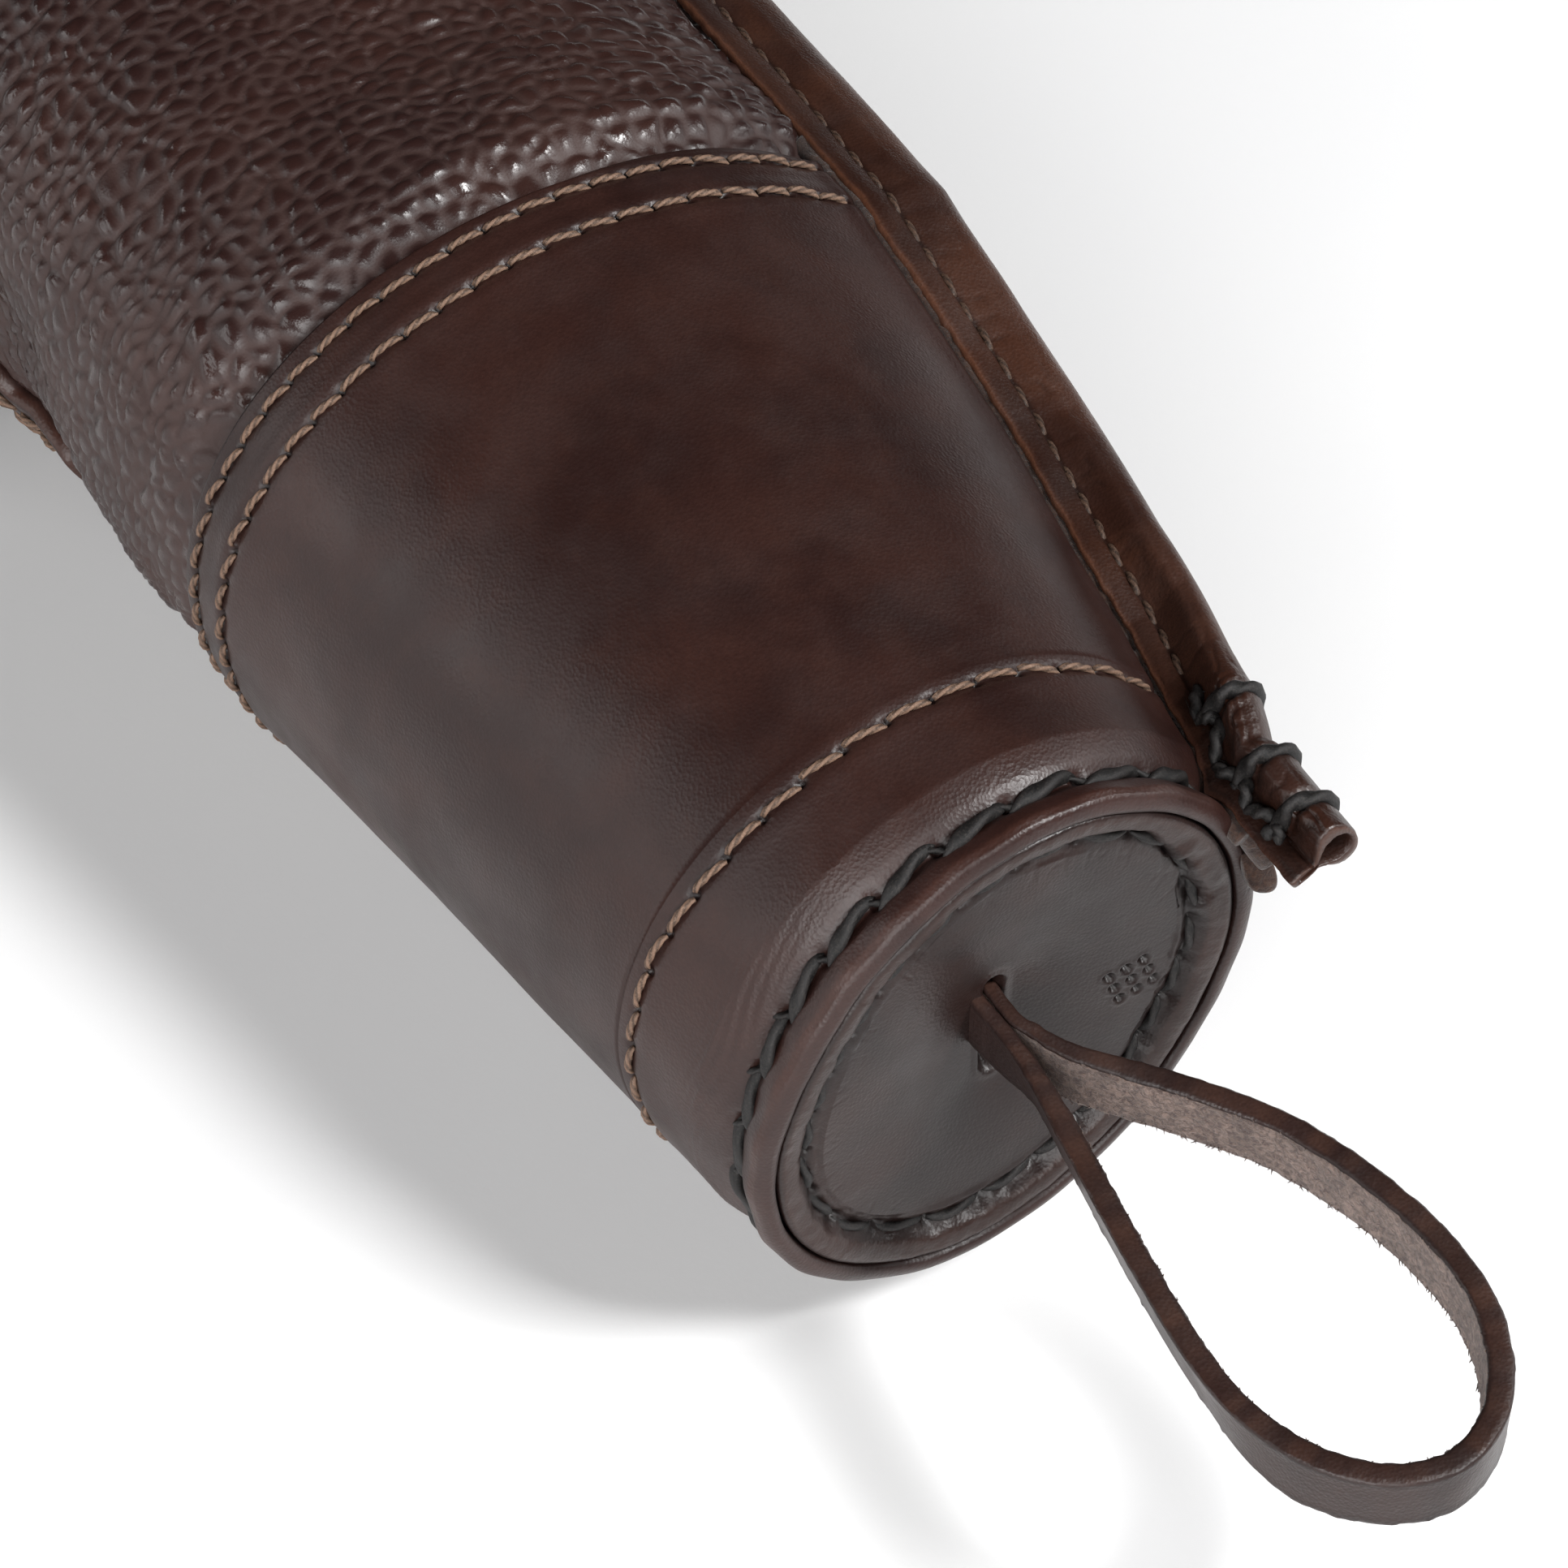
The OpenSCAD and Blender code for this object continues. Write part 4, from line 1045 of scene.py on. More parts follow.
def build_tie():
    """Three turns of thick thread round the tied end, and the slanted stitches that join them along the root."""
    shape = Shape()
    rng = np.random.default_rng(41)
    for k, x in enumerate(WRAPS):
        d0 = RIM_X - x
        t = np.linspace(0.13, 0.87, 44) if k < 2 else np.linspace(0.08, 0.95, 52)
        d = d0 + np.interp(t, [0, 1], [1.5, -1.5]) + 0.15 * np.sin(9 * t)
        root, out, top, width = flap_frame(d)
        reach, rise = flap_section(d, t[:, None] * np.ones((1, 1)))
        reach, rise = reach[:, 0], rise[:, 0]
        centre_u = width * 0.62
        local = np.stack([reach - centre_u, rise], -1)
        grown = local / np.linalg.norm(local, axis=1)[:, None]
        path = root + out * (reach + grown[:, 0] * 0.45)[:, None] + top * (rise + grown[:, 1] * 0.45)[:, None]
        up = out * grown[:, :1] + top * grown[:, 1:]
        ends = np.clip(np.minimum(t - t[0], t[-1] - t) / 0.05, 0, 1)
        shape.tube(path, 0.42 + 0.43 * ends**0.5, 12, up=up, lobes=2, turns=2.6)
    span = [(17.5, 0.42), (12.8, 0.20), (11.0, 0.46), (6.8, 0.20), (3.2, 0.44), (0.2, 0.16), (-3.8, 0.42), (-5.6, 0.22)]
    for (d_a, u_a), (d_b, u_b) in zip(span[:-1], span[1:]):
        t = np.linspace(0, 1, 15)
        d = d_a + (d_b - d_a) * t
        root, out, top, width = flap_frame(d)
        reach = width * (u_a + (u_b - u_a) * t)
        high = 0.25 + 1.15 * np.sin(math.pi * t) ** 0.6
        path = root + out * reach[:, None] + top * high[:, None]
        shape.tube(path, 0.35 + 0.42 * np.sin(math.pi * t) ** 0.6, 11, up=top, lobes=2, turns=1.3)
    for k in range(26):
        i = rng.uniform(-4, 16)
        root, out, top, width = flap_frame(np.array([i]))
        start = root[0] + out[0] * width[0] * rng.uniform(0.15, 0.5) + top[0] * 0.8
        t = np.linspace(0, 1, 5)[:, None]
        aim = rng.normal(0, 1, 3) * np.array([0.9, 0.5, 0.5]) + top[0] * 0.8
        path = start + aim * t * rng.uniform(0.6, 1.2) + top[0] * -0.5 * t**2
        shape.tube(path, 0.05, 4, up=(0.2, 1, 0.1))
    return shape.build("tie_thread", WAXED, "case", "waxed_thread", ("flap_wraps",))


def build_welt():
    """The sleeve seam's welt under the flap: a raw ridge along the seam, its rolled end and a cut tab."""
    shape = Shape()
    d = np.arange(-1.5, 108, 0.4)
    held = np.maximum(d, 0)
    a = root_angle(held) - (0.25 + 0.35 * bell(d, 60, 60)) / skin_r(held, root_angle(held))
    around = np.linspace(0, 2 * math.pi, 14, endpoint=False)
    middle = skin(held, a, -0.2)
    middle[:, 0] = RIM_X - d
    radial = np.stack([0 * a, np.cos(a), np.sin(a)], -1)
    side = np.stack([0 * a, np.sin(a), -np.cos(a)], -1)
    wobble = noise(middle, 2.0, 91, 2)
    high = 1.15 + 0.30 * wobble
    wide = 0.75 + 0.2 * noise(middle, 1.3, 93)
    p = (middle[:, None] + radial[:, None] * (np.sin(around)[None] * high[:, None])[..., None]
         + side[:, None] * (np.cos(around)[None] * wide[:, None])[..., None])
    p = p + radial[:, None] * (0.14 * noise(p, 0.9, 95))[..., None]
    mark = -0.9 + 0.9 * np.abs(np.cos(around))[None] + 0.5 * noise(p, 1.1, 97)
    shape.grid(p, wrap_v=True, caps=True, mark=mark)

    turn = np.linspace(0.2, 2.35 * math.pi, 60)
    coil = np.stack([np.cos(turn), np.sin(turn)], -1) * (0.55 + 1.15 * turn / turn[-1])[:, None]
    axis = np.array([0.72, 0.30, -0.62])
    axis = axis / np.linalg.norm(axis)
    e1 = np.cross(axis, [0, 0, 1.0])
    e1 /= np.linalg.norm(e1)
    e2 = np.cross(axis, e1)
    inner = coil * (1 - 0.42 / np.linalg.norm(coil, axis=1))[:, None]
    outer = coil * (1 + 0.42 / np.linalg.norm(coil, axis=1))[:, None]
    loop = np.vstack([outer, inner[::-1]])
    start = np.array([RIM_X - 1.5, 29.3, AXIS_H + 19.4])
    rows = []
    for along, grow in ((0, 1.0), (0.4, 1.04), (2.5, 1.0), (5.0, 0.97), (6.6, 0.9), (7.0, 0.82)):
        shift = np.array([0, 0.05, -0.03]) * along
        rows.append(start + axis * along * -0.0 + np.array([0.36, 0.24, -0.62]) * along * 1.25 + shift
                    + (loop[:, :1] * e1 + loop[:, 1:] * e2) * grow)
    p = np.stack(rows)
    shape.grid(p, wrap_v=True, caps=True, mark=np.array([-0.8, -0.3, 0, 0.1, 0.2, 0.5])[:, None] * np.ones(len(loop)))

    corner = np.array([RIM_X + 1.0, 30.2, AXIS_H + 12.6])
    u_dir = np.array([0.25, 0.86, -0.1])
    v_dir = np.array([0.55, 0.1, -0.80])
    n_dir = np.cross(u_dir, v_dir)
    n_dir /= np.linalg.norm(n_dir)
    outline = round_path([(-1.6, -2.2), (1.6, -2.4), (2.0, 0.4), (1.2, 2.4), (-0.4, 2.9), (-1.9, 2.0), (-1.6, -2.2)], 40)[:-1]
    rows = []
    for lift, grow in ((-0.8, 0.86), (-0.7, 0.97), (0.0, 1.0), (0.7, 0.97), (0.8, 0.86)):
        rows.append(corner + (outline[:, :1] * u_dir + outline[:, 1:] * v_dir) * grow + n_dir * (lift + 0.0))
    shape.grid(np.stack(rows), wrap_v=True, caps=True, mark=np.array([0, -0.5, -0.2, -0.5, 0.2])[:, None] * np.ones(39))
    return shape.build("seam_welt", WELT, "case", "flap_leather")


build_cap()
build_rim_thread()
build_inner_thread()
build_loop()
build_flap()
build_flap_stitches()
build_tie()
build_welt()


# ---------------------------------------------------------------- parts on the far side and inside
def section(x, a, r, low=0.0):
    """Points at radius r round the case's axis, pressed flat at height low."""
    x, a, r = np.broadcast_arrays(np.asarray(x, float), a, r)
    return np.stack([x, r * np.cos(a), np.maximum(AXIS_H + r * np.sin(a), low)], -1)


def facing(points, angle, side):
    """Points from a frame whose third axis looks out of one rounded side at the given angle."""
    points = np.asarray(points, float)
    x, y, z = points[..., 0], points[..., 1], points[..., 2]
    s, c = math.sin(angle * DEG), math.cos(angle * DEG)
    return np.stack([x, side * SIDE_W + y * s + z * c, AXIS_H - y * c + z * s], -1)


def band(shape, path, across, half, thick, mark=None, sides=26, blunt=0.35):
    """A flat strap along path; across is the direction of its width."""
    path = np.asarray(path, float)
    tangent = np.gradient(path, axis=0)
    tangent /= np.linalg.norm(tangent, axis=1)[:, None]
    across = np.broadcast_to(np.asarray(across, float), path.shape)
    across = across - tangent * (across * tangent).sum(1)[:, None]
    across = across / np.linalg.norm(across, axis=1)[:, None]
    normal = np.cross(tangent, across)
    q = np.arange(sides) / sides * 2 * math.pi
    u = np.sign(np.cos(q)) * np.abs(np.cos(q)) ** blunt
    v = np.sign(np.sin(q)) * np.abs(np.sin(q)) ** 0.7
    half = np.broadcast_to(half, (len(path),))[:, None, None]
    thick = np.broadcast_to(thick, (len(path),))[:, None, None]
    p = path[:, None] + across[:, None] * u[None, :, None] * half + normal[:, None] * v[None, :, None] * thick / 2
    p = p + normal[:, None] * (0.05 * noise(p, 1.5, 51, 2))[..., None]
    edge = -0.8 * (np.abs(u) > 0.93)[None] + 0.6 * bell(np.abs(u), 0.82, 0.06)[None]
    shape.grid(p, wrap_v=True, caps=True, mark=edge + np.zeros((len(path), 1)) if mark is None else mark)


FAR_STITCHES = 34
FAR_ROWS = (FAR_EDGE + 3.2, FAR_EDGE + 8.0)


def build_far_sleeve():
    m = 560
    a = np.arange(m) / m * 2 * math.pi
    stations = np.unique(np.concatenate([np.arange(FAR_EDGE + 0.6, FAR_EDGE + 11, 0.25), np.arange(FAR_EDGE + 11, LENGTH - 9, 0.6),
                                         np.arange(LENGTH - 9, LENGTH - 0.4, 0.25)]))
    d = stations[:, None] * np.ones(m)
    angle = a[None] * np.ones_like(d)
    plain = skin(d, angle)
    h = 0.22 * noise(plain, 28, 3, 2) + 0.05 * noise(plain, 7, 5, 2)
    # The groove mark darkens the stitch rows and the rim's groove: painted shade.
    groove = np.zeros_like(d)
    for row in FAR_ROWS:
        line = row + 0.25 * np.sin(3 * angle + row)
        h = h - 0.24 * bell(d, line, 0.75) + 0.10 * bell(d, line + 1.9, 1.1)
        groove = np.maximum(groove, 0.45 * bell(d, line, 0.6))
    from_rim = LENGTH - d
    phase = a[None] / (2 * math.pi) * FAR_STITCHES
    swell = 0.5 + 0.5 * np.cos(2 * math.pi * phase)
    h = h - 0.5 * bell(from_rim, 5.0, 1.2) * (0.55 + 0.45 * swell) + 0.25 * bell(from_rim, 1.9, 1.4) * (1 - swell)
    groove = np.maximum(groove, 0.5 * bell(from_rim, 5.0, 1.0))
    outer = skin(d, angle, h)
    rows = []
    for at, lift, shade in [(0.5, -1.9, 0.8), (0.1, -1.2, 0.2), (0.0, -0.5, -0.8), (0.2, -0.1, -0.6)]:
        rows.append((skin(FAR_EDGE + at + 0.4 * np.sin(2 * a), a, lift), np.full(m, shade)))
    for i in range(len(stations)):
        rows.append((outer[i], groove[i]))
    for at, lift, shade in [(0.2, -0.3, 0.0), (0.0, -0.9, 0.0), (-0.05, -1.5, 0.1), (0.2, -2.1, 0.5), (1.0, -2.45, 0.9)]:
        rows.append((skin(LENGTH - at + 0.2 * np.sin(5 * a), a, lift), np.full(m, shade)))
    # The inside of the sleeve is marked darker: painted shade.
    for at in (LENGTH - 6, LENGTH - 16, FAR_EDGE + 10, FAR_EDGE + 3):
        rows.append((skin(np.full(m, at), a, -2.4, 1.0), np.full(m, 0.3)))
    shape = Shape().grid(np.stack([r[0] for r in rows]), wrap_u=True, wrap_v=True, mark=np.stack([r[1] for r in rows]))
    return shape.build("far_sleeve_skin", SLEEVE, "case", "smooth_leather", ("far_sleeve",))


def build_far_cap():
    m = 480
    a = np.arange(m) / m * 2 * math.pi
    rim = skin_r(LENGTH, a)
    rows, marks = [], []
    phase = a / (2 * math.pi) * FAR_STITCHES
    gather = noise(np.stack([a * 14, 0 * a, 0 * a], -1), 1.0, 161)

    def ring(inset, depth, mark, share=1.0):
        r = (rim - inset) * share
        low = 2.3 + 0.9 * max(0.0, inset - 2.4) if share > 0.99 else 0.0
        x = FAR_X + depth + 0.15 * gather * bell(inset, 5.0, 1.5)
        place = section(x, a, r, low)
        if share < 0.999:
            place[:, 0] += 0.12 * noise(place, 9, 165, 2) + 0.3 * noise(place, 26, 166)
        else:
            place[:, 0] += 0.14 * noise(place * np.array([0, 1, 1]), 1.4, 162, 2)
        rows.append(place)
        marks.append(mark + 0 * a)

    for share in (0.004, 0.5, 0.9):
        ring(9.5, 8.2, 0.3, share)
    # Third value: crease mark, painted shade in the crevice and fold where above 0, lighter wear on the crest where
    # below 0.
    for inset, depth, mark in [
            (9.4, 8.0, 0.3), (5.2, 7.6, 0.3), (2.75, 6.5, 0.3), (2.62, 4.0, 1.0), (2.62, 1.6, 1.0), (2.66, 0.9, 0.8),
            (2.8, 0.4, 0.2), (3.1, 0.05, -0.5), (3.5, -0.12, -0.6), (4.0, -0.12, -0.3), (4.5, 0.05, -0.1), (4.9, 0.35, -0.2),
            (5.15, 0.8, 0.1), (5.3, 1.5, 0.3), (5.4, 2.3, 0.4), (5.6, 3.3, 0.5), (6.1, 4.4, 0.8), (6.6, 4.7, 1.0), (7.6, 4.5, 0.3)]:
        ring(inset, depth, mark)
    for share in np.linspace(0.998, 0.004, 60):
        ring(8.4, 4.1 - 1.6 * float(smooth((1 - share) / 0.4)), 0.0, share)
    shape = Shape().grid(np.stack(rows), wrap_v=True, caps=True, mark=np.stack(marks))
    return shape.build("far_cap_leather", CAP, "case", "cap_leather", ("far_cap",))


def build_far_threads():
    shape = Shape()
    rng = np.random.default_rng(61)
    step = 2 * math.pi / FAR_STITCHES
    t = np.linspace(0, 1, 15)
    for i in range(FAR_STITCHES):
        a = (i + np.interp(t, [0, 1], [-0.03, 1.05])) * step
        d = LENGTH - 5.9 + 2.1 * t + 0.2 * rng.standard_normal()
        high = -0.75 + (1.25 + 0.15 * rng.standard_normal()) * np.sin(math.pi * t) ** 0.7
        path = skin(d, a, high, 0.75)
        centre = np.stack([path[:, 0], np.zeros(len(t)), np.full(len(t), AXIS_H)], -1)
        shape.tube(path, 0.22 + 0.62 * np.sin(math.pi * t) ** 0.75, 11, up=path - centre, flat=0.85, lobes=2, turns=0.8)
    shape.build("far_rim_thread_sewn", WAXED, "case", "waxed_thread", ("far_rim_thread",))
    for k, row in enumerate(FAR_ROWS):
        holes = stitch_angles(row, 4.9, 0.1, 0.1 + 2 * math.pi)
        stitches(f"far_stitches_{k}", holes, lambda a, r=row: r + 0.25 * np.sin(3 * a + r), 0.28, 0.40, LINEN, "linen_thread")


def build_lining():
    """Suede tube inside the case, open along the zip."""
    shape = Shape()
    for d0, d1, a0, a1 in ((11.0, 101.0, 0, 2 * math.pi), (100.0, 367.0, 39 * DEG, 15.5 * DEG + 2 * math.pi),
                           (366.0, 389.0, 0, 2 * math.pi)):
        stations = np.arange(d0, d1 + 0.1, 3.0 if d1 < 150 else 2.2)
        whole = a1 - a0 > 6.2
        a = np.linspace(a0, a1, 200, endpoint=not whole)
        d = stations[:, None] * np.ones(len(a))
        angle = a[None] * np.ones_like(d)
        ripple = 0.12 * noise(skin(d, angle), 6, 171, 2)
        outer = skin(d, angle, -3.95 + ripple, 3.6)
        inner = skin(d, angle, -4.95 + ripple, 4.6)
        if whole:
            p = np.concatenate([outer, inner[::-1]])
            shape.grid(p, wrap_u=True, wrap_v=True, mark=0.2)
        else:
            p = np.concatenate([outer, inner[:, ::-1]], axis=1)
            ends = [0.5 * (outer[k] + inner[k]) for k in (0, -1)]
            ends = [np.concatenate([e, e[::-1]])[None] for e in ends]
            shape.grid(np.concatenate([ends[0], p, ends[1]]), wrap_v=True, mark=0.2)
    return shape.build("lining_sheet", LINING, "case", "suede", ("lining",))


def build_boards():
    def disc(shape, x0, x1, inset, station, seed, radius=None):
        m = 240
        a = np.arange(m) / m * 2 * math.pi
        rim = (skin_r(station, a) - inset) if radius is None else radius + 0 * a
        rim = rim + 0.15 * np.random.default_rng(seed).standard_normal() + 0.12 * noise(np.stack([a * 9, 0 * a, 0 * a], -1), 1.0, seed)
        rows = []
        low = inset + 0.6 if radius is None else 0.0
        for x, share in [(x0, 0.3), (x0, 0.8), (x0, 0.985), (x0 + 0.25, 1.0), (x1 - 0.25, 1.0), (x1, 0.985), (x1, 0.8), (x1, 0.3)]:
            p = section(x, a, rim * share, low)
            p[:, 0] += 0.05 * noise(p, 3, seed, 2)
            rows.append(p)
        shape.grid(np.stack(rows), wrap_v=True, caps=True)

    near, far, washer = Shape(), Shape(), Shape()
    disc(near, RIM_X - 9.9, RIM_X - 8.4, 5.4, 8.0, 5)
    near.build("end_board", BOARD, "case", "board", ("end_cap_board",))
    disc(far, FAR_X + 8.4, FAR_X + 9.9, 5.4, LENGTH, 6)
    far.build("far_board", BOARD, "case", "board", ("far_cap_board",))
    disc(washer, RIM_X - 12.1, RIM_X - 10.1, 0, 8.0, 7, 9.0)
    washer.build("loop_washer_disc", BOARD, "case", "board", ("loop_washer",))


def build_zip_tapes():
    low, high = (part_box("zip_tape_upper")[k].x / MM for k in (0, 1))
    teeth_r = 39.6
    for name, side in (("zip_tape_upper", -1), ("zip_tape_lower", 1)):
        shape = Shape()
        x = np.arange(low, high, 1.1)
        across = np.linspace(3.05, 11.9, 26)
        wave = 0.10 * noise(np.stack([x[:, None] + 0 * across, 0 * x[:, None] + across, 0 * x[:, None] + 0 * across], -1), 7, 181)
        bead = 0.30 * bell(across, 3.6, 0.5)[None]
        top = np.sqrt(teeth_r**2 - across**2)[None] + 0.33 + wave + bead
        under = np.sqrt(teeth_r**2 - across**2)[None] - 0.33 + wave - bead
        xx = x[:, None] + 0 * across
        yy = side * across[None] + 0 * x[:, None]
        upper = facing(np.stack([xx, yy, top], -1), 32, 1)
        lower = facing(np.stack([xx, yy, under], -1), 32, 1)
        shape.grid(np.concatenate([upper, lower[:, ::-1]], axis=1), wrap_v=True, caps=True)
        shape.build(name + "_woven", TAPE, "case", "zip_tape", (name,))


def build_leather_pull():
    """Doubled leather tongue, sewn round its edge, with a lace through the puller's eye."""
    shape = Shape()
    x0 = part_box("slider_pin")
    pin_x = 0.5 * (x0[0].x + x0[1].x) / MM
    pin_z = SIDE_R + 2.0
    s = np.linspace(0, 1, 46)
    x = pin_x - 14.6 - 19.4 * s
    half = 3.15 * np.clip((1 - s) / 0.16, 0, 1) ** 0.5 * (0.82 + 0.18 * smooth(s / 0.2))
    path = np.stack([x, 0 * s, pin_z + 0.12 * np.sin(3 * s)], -1)
    local = Shape()
    band(local, path, (0, 1, 0), np.maximum(half, 0.4), 1.7 - 0.5 * smooth((s - 0.85) / 0.15), blunt=0.5)
    q = np.linspace(0, 2 * math.pi, 40, endpoint=False)
    lace = np.stack([pin_x - 12.9 + 2.0 * np.cos(q), 0 * q, pin_z + 1.35 * np.sin(q)], -1)
    local.tube(lace, 0.62, 10, up=(0, 1, 0), flat=1.25, wrap=True)
    for p, k, quads, tris, c in zip(local.points, local.marks, local.quads, local.tris, local.paints):
        shape.points.append(facing(p, 32, 1))
        shape.marks.append(k)
        shape.quads.append(quads)
        shape.tris.append(tris)
        shape.paints.append(c)
    shape.tri_paints = local.tri_paints
    shape.count = local.count
    shape.build("pull_tongue", STRAP, "puller", "strap_leather", ("leather_pull",))
    sewn = Shape()
    for side in (-1, 1):
        for k in range(6):
            t = np.linspace(0, 1, 7)
            xs = pin_x - 17.0 - 2.6 * (k + 0.08 + 0.84 * t)
            z = pin_z + 0.70 + 0.33 * (1 - (2 * t - 1) ** 4)
            sewn.tube(facing(np.stack([xs, side * 2.2 + 0 * t, z], -1), 32, 1), 0.26, 8, up=(0, 0.5, 1), lobes=3, turns=0.6)
    return sewn.build("pull_stitches", LINEN, "puller", "linen_thread")


HANDLE_A = 190
PATCH_D0, PATCH_D1 = 147.5, 200.0


def patch_edges(d):
    """Upper and lower edge angles of the front patch; its narrow tail runs towards the tapered sleeve."""
    wide = smooth((d - 160) / 12)
    return (197 - 22.5 * wide) * DEG, (213.5 - 10.5 * wide) * DEG


def build_patch(name, d0, d1, edges, node, tail):
    shape = Shape()
    stations = np.linspace(d0, d1, 130)
    top, low = edges(stations)
    v = np.linspace(0, 1, 44)
    ends = np.minimum(stations - d0, d1 - stations)
    pull = 1 - np.clip(ends / 5.0, 0, 1)
    trim = 0.5 * (1 - np.sqrt(np.clip(1 - pull**2, 0, 1))) * 0.55
    lo = top + (low - top) * trim
    hi = low - (low - top) * trim
    angle = lo[:, None] + (hi - lo)[:, None] * v[None]
    d = stations[:, None] + 0 * angle
    swell = 0.55 * noise(skin(d, angle), 30, 27, 2)
    edge = np.minimum(np.minimum(v, 1 - v)[None] * (hi - lo)[:, None] * 43, ends[:, None])
    round_ = np.sqrt(np.clip(1 - (1 - np.clip(edge / 0.8, 0, 1)) ** 2, 0, 1))
    relief = 0.10 * noise(skin(d, angle), 5, 191, 2) - 0.22 * bell(edge, 3.0, 0.45) - 0.15 * bell(edge, 1.9, 0.25)
    outer = skin(d, angle, swell + 1.0 + 1.3 * round_ + relief)
    inner = skin(d, angle, swell - 0.6)
    mark = -0.9 * (edge < 0.5) + 0.5 * bell(edge, 3.0, 0.5)
    p = np.concatenate([outer, inner[:, ::-1]], axis=1)
    shade = np.concatenate([mark, 0.4 + 0 * mark], axis=1)
    shape.grid(p, wrap_v=True, caps=True, mark=shade)
    shape.build(name, SLEEVE, "case", "smooth_leather", (node,))
    sewn = Shape()
    rng = np.random.default_rng(71)
    t = np.linspace(0, 1, 9)
    for side in (0, 1):
        at = d0 + 4.0
        while at < d1 - 6:
            ds = at + 4.6 * np.interp(t, [0, 1], [0.07, 0.93])
            upper, lower = edges(ds)
            a = upper + 3.0 / 43 if side == 0 else lower - 3.0 / 43
            lift = 2.15 + 0.5 * (1 - (2 * t - 1) ** 4) + 0.55 * noise(skin(ds, a), 30, 27, 2)
            path = skin(ds, a + 0.004 * rng.standard_normal(), lift)
            sewn.tube(path, 0.42 * (0.7 + 0.3 * np.sin(math.pi * t) ** 0.5), 9, up=(0.1, -1, 0.2), lobes=3, turns=0.8)
            at += 4.6
    return sewn.build(name + "_stitches", LINEN, "case", "linen_thread", ("patch_stitches",) if tail else ())


def build_chape(dir_, node):
    """Strap folded round the ring's straight side and sewn down on the patch."""
    x = dir_ * 72.0
    ring_z = 48.1
    turn = np.linspace(-38, 262, 40) * DEG
    loop = np.stack([2.28 * np.cos(turn), 2.28 * np.sin(turn)], -1)
    over = np.array([(9.2, -2.15), (7.5, -2.0), (5.0, -1.85), (3.2, -1.75)])
    under = np.array([(0.8, -2.55), (3.0, -2.75), (6.0, -2.85), (9.0, -2.9)])
    flat = round_path(np.vstack([over, loop[::3], under]), 110)
    local = np.stack([np.full(len(flat), x), flat[:, 0], ring_z + flat[:, 1]], -1)
    shape = Shape()
    band(shape, facing(local, HANDLE_A, -1), (1, 0, 0), 4.3, 1.15)
    shape.build(f"{node}_strap", STRAP, "case", "strap_leather", (node,))
    sewn = Shape()
    for k in range(3):
        t = np.linspace(0, 1, 9)
        xs = x - 3.6 + 2.5 * (k + 0.08 + 0.84 * t)
        z = ring_z - 1.42 + 0.30 * (1 - (2 * t - 1) ** 4)
        sewn.tube(facing(np.stack([xs, 4.3 + 0 * t, z], -1), HANDLE_A, -1), 0.34, 8, up=(0.1, -1, 0.1), lobes=3, turns=0.7)
    return sewn.build(f"{node}_stitches", LINEN, "case", "linen_thread")


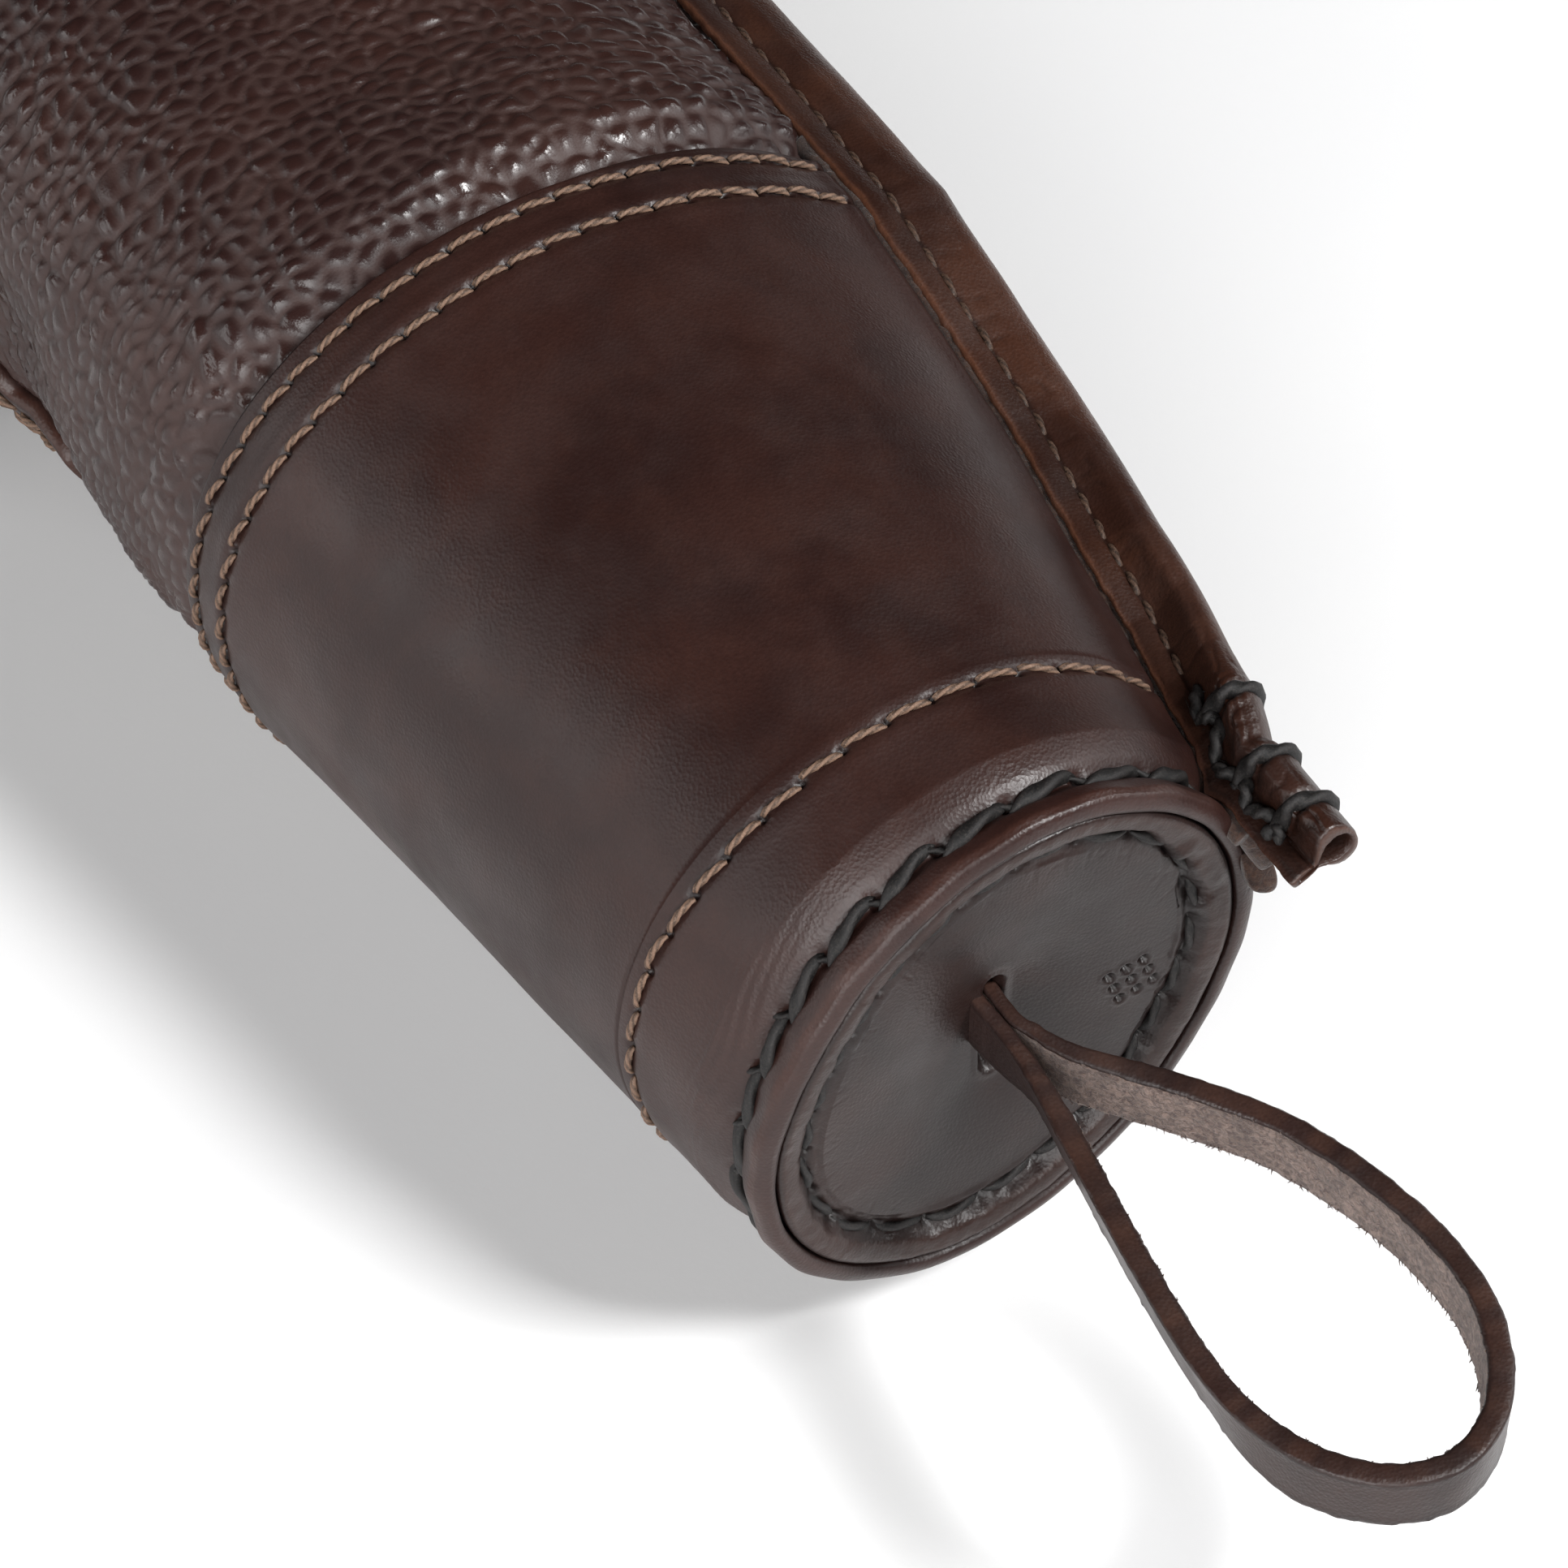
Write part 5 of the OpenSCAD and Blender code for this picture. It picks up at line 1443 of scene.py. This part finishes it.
def build_handle():
    """Rolled leather bail with a sewn seam along its inner side, bound with thread below each ring."""
    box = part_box("rolled_handle")
    y = 0.5 * (box[0].y + box[1].y) / MM
    top, low = box[1].z / MM, box[0].z / MM + 4.2
    corner = round_path([(72, top - 0.6), (72, top - 4), (72, low + 9), (69.4, low + 2.7), (63, low), (50, low), (0, low)], 170)
    flat = np.vstack([corner, corner[::-1][1:] * np.array([-1, 1])])
    n = len(flat)
    path = np.stack([flat[:, 0], np.full(n, y), flat[:, 1]], -1)
    s = np.linspace(0, 1, n)
    end = np.minimum(s, 1 - s) * n
    radius = 4.15 * (0.80 + 0.20 * smooth(end / 26)) * np.sqrt(np.clip((end + 0.6) / 5, 0, 1))
    tangent = np.gradient(flat, axis=0)
    tangent /= np.linalg.norm(tangent, axis=1)[:, None]
    inward = np.stack([tangent[:, 1], 0 * s, -tangent[:, 0]], -1)
    inward *= np.sign((inward * (np.array([0, y, top]) - path)).sum(1))[:, None]
    side = np.array([0.0, 1.0, 0.0])
    around = np.linspace(0, 2 * math.pi, 48, endpoint=False)
    seam = 0.55 * bell((around + math.pi) % (2 * math.pi) - math.pi, 0, 0.17)
    pinch = -0.30 * bell(np.abs((around + math.pi) % (2 * math.pi) - math.pi), 0.42, 0.16)
    grow = np.clip(end / 20, 0, 1)[:, None] * (seam + pinch)[None]
    r = radius[:, None] + grow
    p = path[:, None] + (r * np.cos(around))[..., None] * inward[:, None] + (r * np.sin(around))[..., None] * side
    bent = bell(flat[:, 0], 68, 6) + bell(flat[:, 0], -68, 6)
    crease = np.clip(1 - np.abs(noise(p * np.array([1.0, 0.3, 1.0]), 2.6, 201, 2)) / 0.14, 0, 1) * bent[:, None]
    shade = 0.6 * crease + 0.8 * np.clip(-pinch / 0.3, 0, 1)[None]
    lift = 0.07 * noise(p, 5, 203, 2) - 0.14 * crease
    p = p + lift[..., None] * (np.cos(around)[None, :, None] * inward[:, None] + np.sin(around)[None, :, None] * side)
    shape = Shape().grid(p, wrap_v=True, caps=True, mark=shade)
    shape.build("handle_roll", STRAP, "handle", "strap_leather", ("rolled_handle",))
    sewn = Shape()
    t = np.linspace(0, 1, 8)
    length = np.concatenate([[0], np.cumsum(np.linalg.norm(np.diff(flat, axis=0), axis=1))])
    at = 16.0
    while at < length[-1] - 16:
        where = at + 4.4 * np.interp(t, [0, 1], [0.08, 0.92])
        spot = np.stack([np.interp(where, length, path[:, k]) for k in range(3)], -1)
        out = np.stack([np.interp(where, length, inward[:, k]) for k in range(3)], -1)
        sewn.tube(spot + out * 3.95 + side * (1.62 + 0.28 * (1 - (2 * t - 1) ** 4))[:, None], 0.33, 8, up=side, lobes=3, turns=0.7)
        at += 4.4
    sewn.build("handle_stitches", LINEN, "handle", "linen_thread")
    bound = Shape()
    for dir_ in (-1, 1):
        q = np.linspace(0, 2 * math.pi * 6, 210)
        z = top - 8.2 + q / q[-1] * 4.6
        spiral = np.stack([dir_ * 72 + 3.72 * np.cos(q), y + 3.72 * np.sin(q), z], -1)
        bound.tube(spiral, 0.42, 9, up=(0, 0, 1), lobes=2, turns=30)
    return bound.build("handle_binding", WAXED, "handle", "waxed_thread")


build_far_sleeve()
build_far_cap()
build_far_threads()
build_lining()
build_boards()
build_zip_tapes()
build_leather_pull()
build_patch("patch_front", PATCH_D0, PATCH_D1, patch_edges, "handle_patch_front", True)
build_patch("patch_rear", 300.0, 365.0, lambda d: (174.3 * DEG + 0 * d, 203 * DEG + 0 * d), "handle_patch_rear", False)
build_chape(1, "handle_chape_front")
build_chape(-1, "handle_chape_rear")
build_handle()


# ---------------------------------------------------------------- camera, light, floor
def look(thing, spot, target):
    back = np.array(spot, float) - np.array(target, float)
    from mathutils import Vector
    thing.location = Vector(spot)
    thing.rotation_mode = "QUATERNION"
    thing.rotation_quaternion = Vector(-back).to_track_quat("-Z", "Y")


def build_camera():
    from mathutils import Matrix
    data = bpy.data.cameras.new("camera")
    data.sensor_width = 36.0
    data.lens = 111.8
    data.clip_end = 20
    cam = bpy.data.objects.new("camera", data)
    bpy.context.scene.collection.objects.link(cam)
    right = (0.50694, 0.86198, 0.0)
    up = (-0.64407, 0.37879, 0.66460)
    back = (0.57287, -0.33692, 0.74720)
    cam.matrix_world = Matrix([
        (right[0], up[0], back[0], 0.5184),
        (right[1], up[1], back[1], -0.1859),
        (right[2], up[2], back[2], 0.4491),
        (0, 0, 0, 1)])
    bpy.context.scene.camera = cam


def area_light(name, spot, target, size, power, colour=(1, 1, 1), size_y=None):
    data = bpy.data.lights.new(name, "AREA")
    data.shape = "RECTANGLE"
    data.size = size
    data.size_y = size_y or size
    data.energy = power
    data.color = colour
    thing = bpy.data.objects.new(name, data)
    bpy.context.scene.collection.objects.link(thing)
    look(thing, spot, target)


def build_stage():
    mesh = bpy.data.meshes.new("floor")
    s = 6.0
    mesh.from_pydata([(-s, -s, 0), (s, -s, 0), (s, s, 0), (-s, s, 0)], [], [(0, 1, 2, 3)])
    floor = bpy.data.objects.new("floor", mesh)
    floor.location.z = -0.0002
    bpy.context.scene.collection.objects.link(floor)
    n = Nodes("floor")
    grain = n.noise(1.5, 3, 0.6)
    colour = n.mix(n.span(n.noise(90, 2, 0.5), 0.3, 0.7), (0.86, 0.86, 0.865), (0.88, 0.88, 0.88))
    mesh.materials.append(n.finish(colour, 0.9, n.bump(grain, 0.05, 0.4), Specular_IOR_Level=0.1))
    middle = (0.2, 0.0, 0.04)
    area_light("key", (1.00, 0.58, 1.20), middle, 0.36, 23.5)
    area_light("back", (0.40, 1.25, 0.66), middle, 0.45, 4.5, size_y=0.45)
    area_light("side", (-0.35, -1.35, 0.50), middle, 1.6, 6.5, size_y=0.5)
    area_light("fill", (1.35, -1.0, 0.80), middle, 1.3, 32.0)
    world = bpy.data.worlds.new("world")
    bpy.context.scene.world = world
    world.use_nodes = True
    tree = world.node_tree
    place = tree.nodes.new("ShaderNodeTexCoord")
    split = tree.nodes.new("ShaderNodeSeparateXYZ")
    fade = tree.nodes.new("ShaderNodeMapRange")
    fade.interpolation_type = "SMOOTHSTEP"
    tree.links.new(place.outputs["Generated"], split.inputs[0])
    tree.links.new(split.outputs["Z"], fade.inputs["Value"])
    for key, value in (("From Min", 0.02), ("From Max", 0.30), ("To Min", 1.2), ("To Max", 0.11)):
        fade.inputs[key].default_value = value
    tree.links.new(fade.outputs[0], tree.nodes["Background"].inputs[1])
    bpy.context.scene.view_settings.view_transform = "Standard"


build_camera()
build_stage()

for node_name in (
    "zip_teeth_upper", "zip_teeth_lower", "zip_end_stop", "zip_closed_stop", "zip_slider", "slider_pin", "zip_puller",
    "handle_ring_front", "handle_ring_rear",
):
    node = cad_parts[node_name]
    node.data.materials.clear()
    node.data.materials.append(BRASS)
    soften = node.modifiers.new("soft_edges", "BEVEL")
    soften.width = 0.22 * MM if "teeth" in node_name else 0.32 * MM
    soften.segments = 2
    soften.limit_method = "ANGLE"
    soften.angle_limit = 35 * DEG
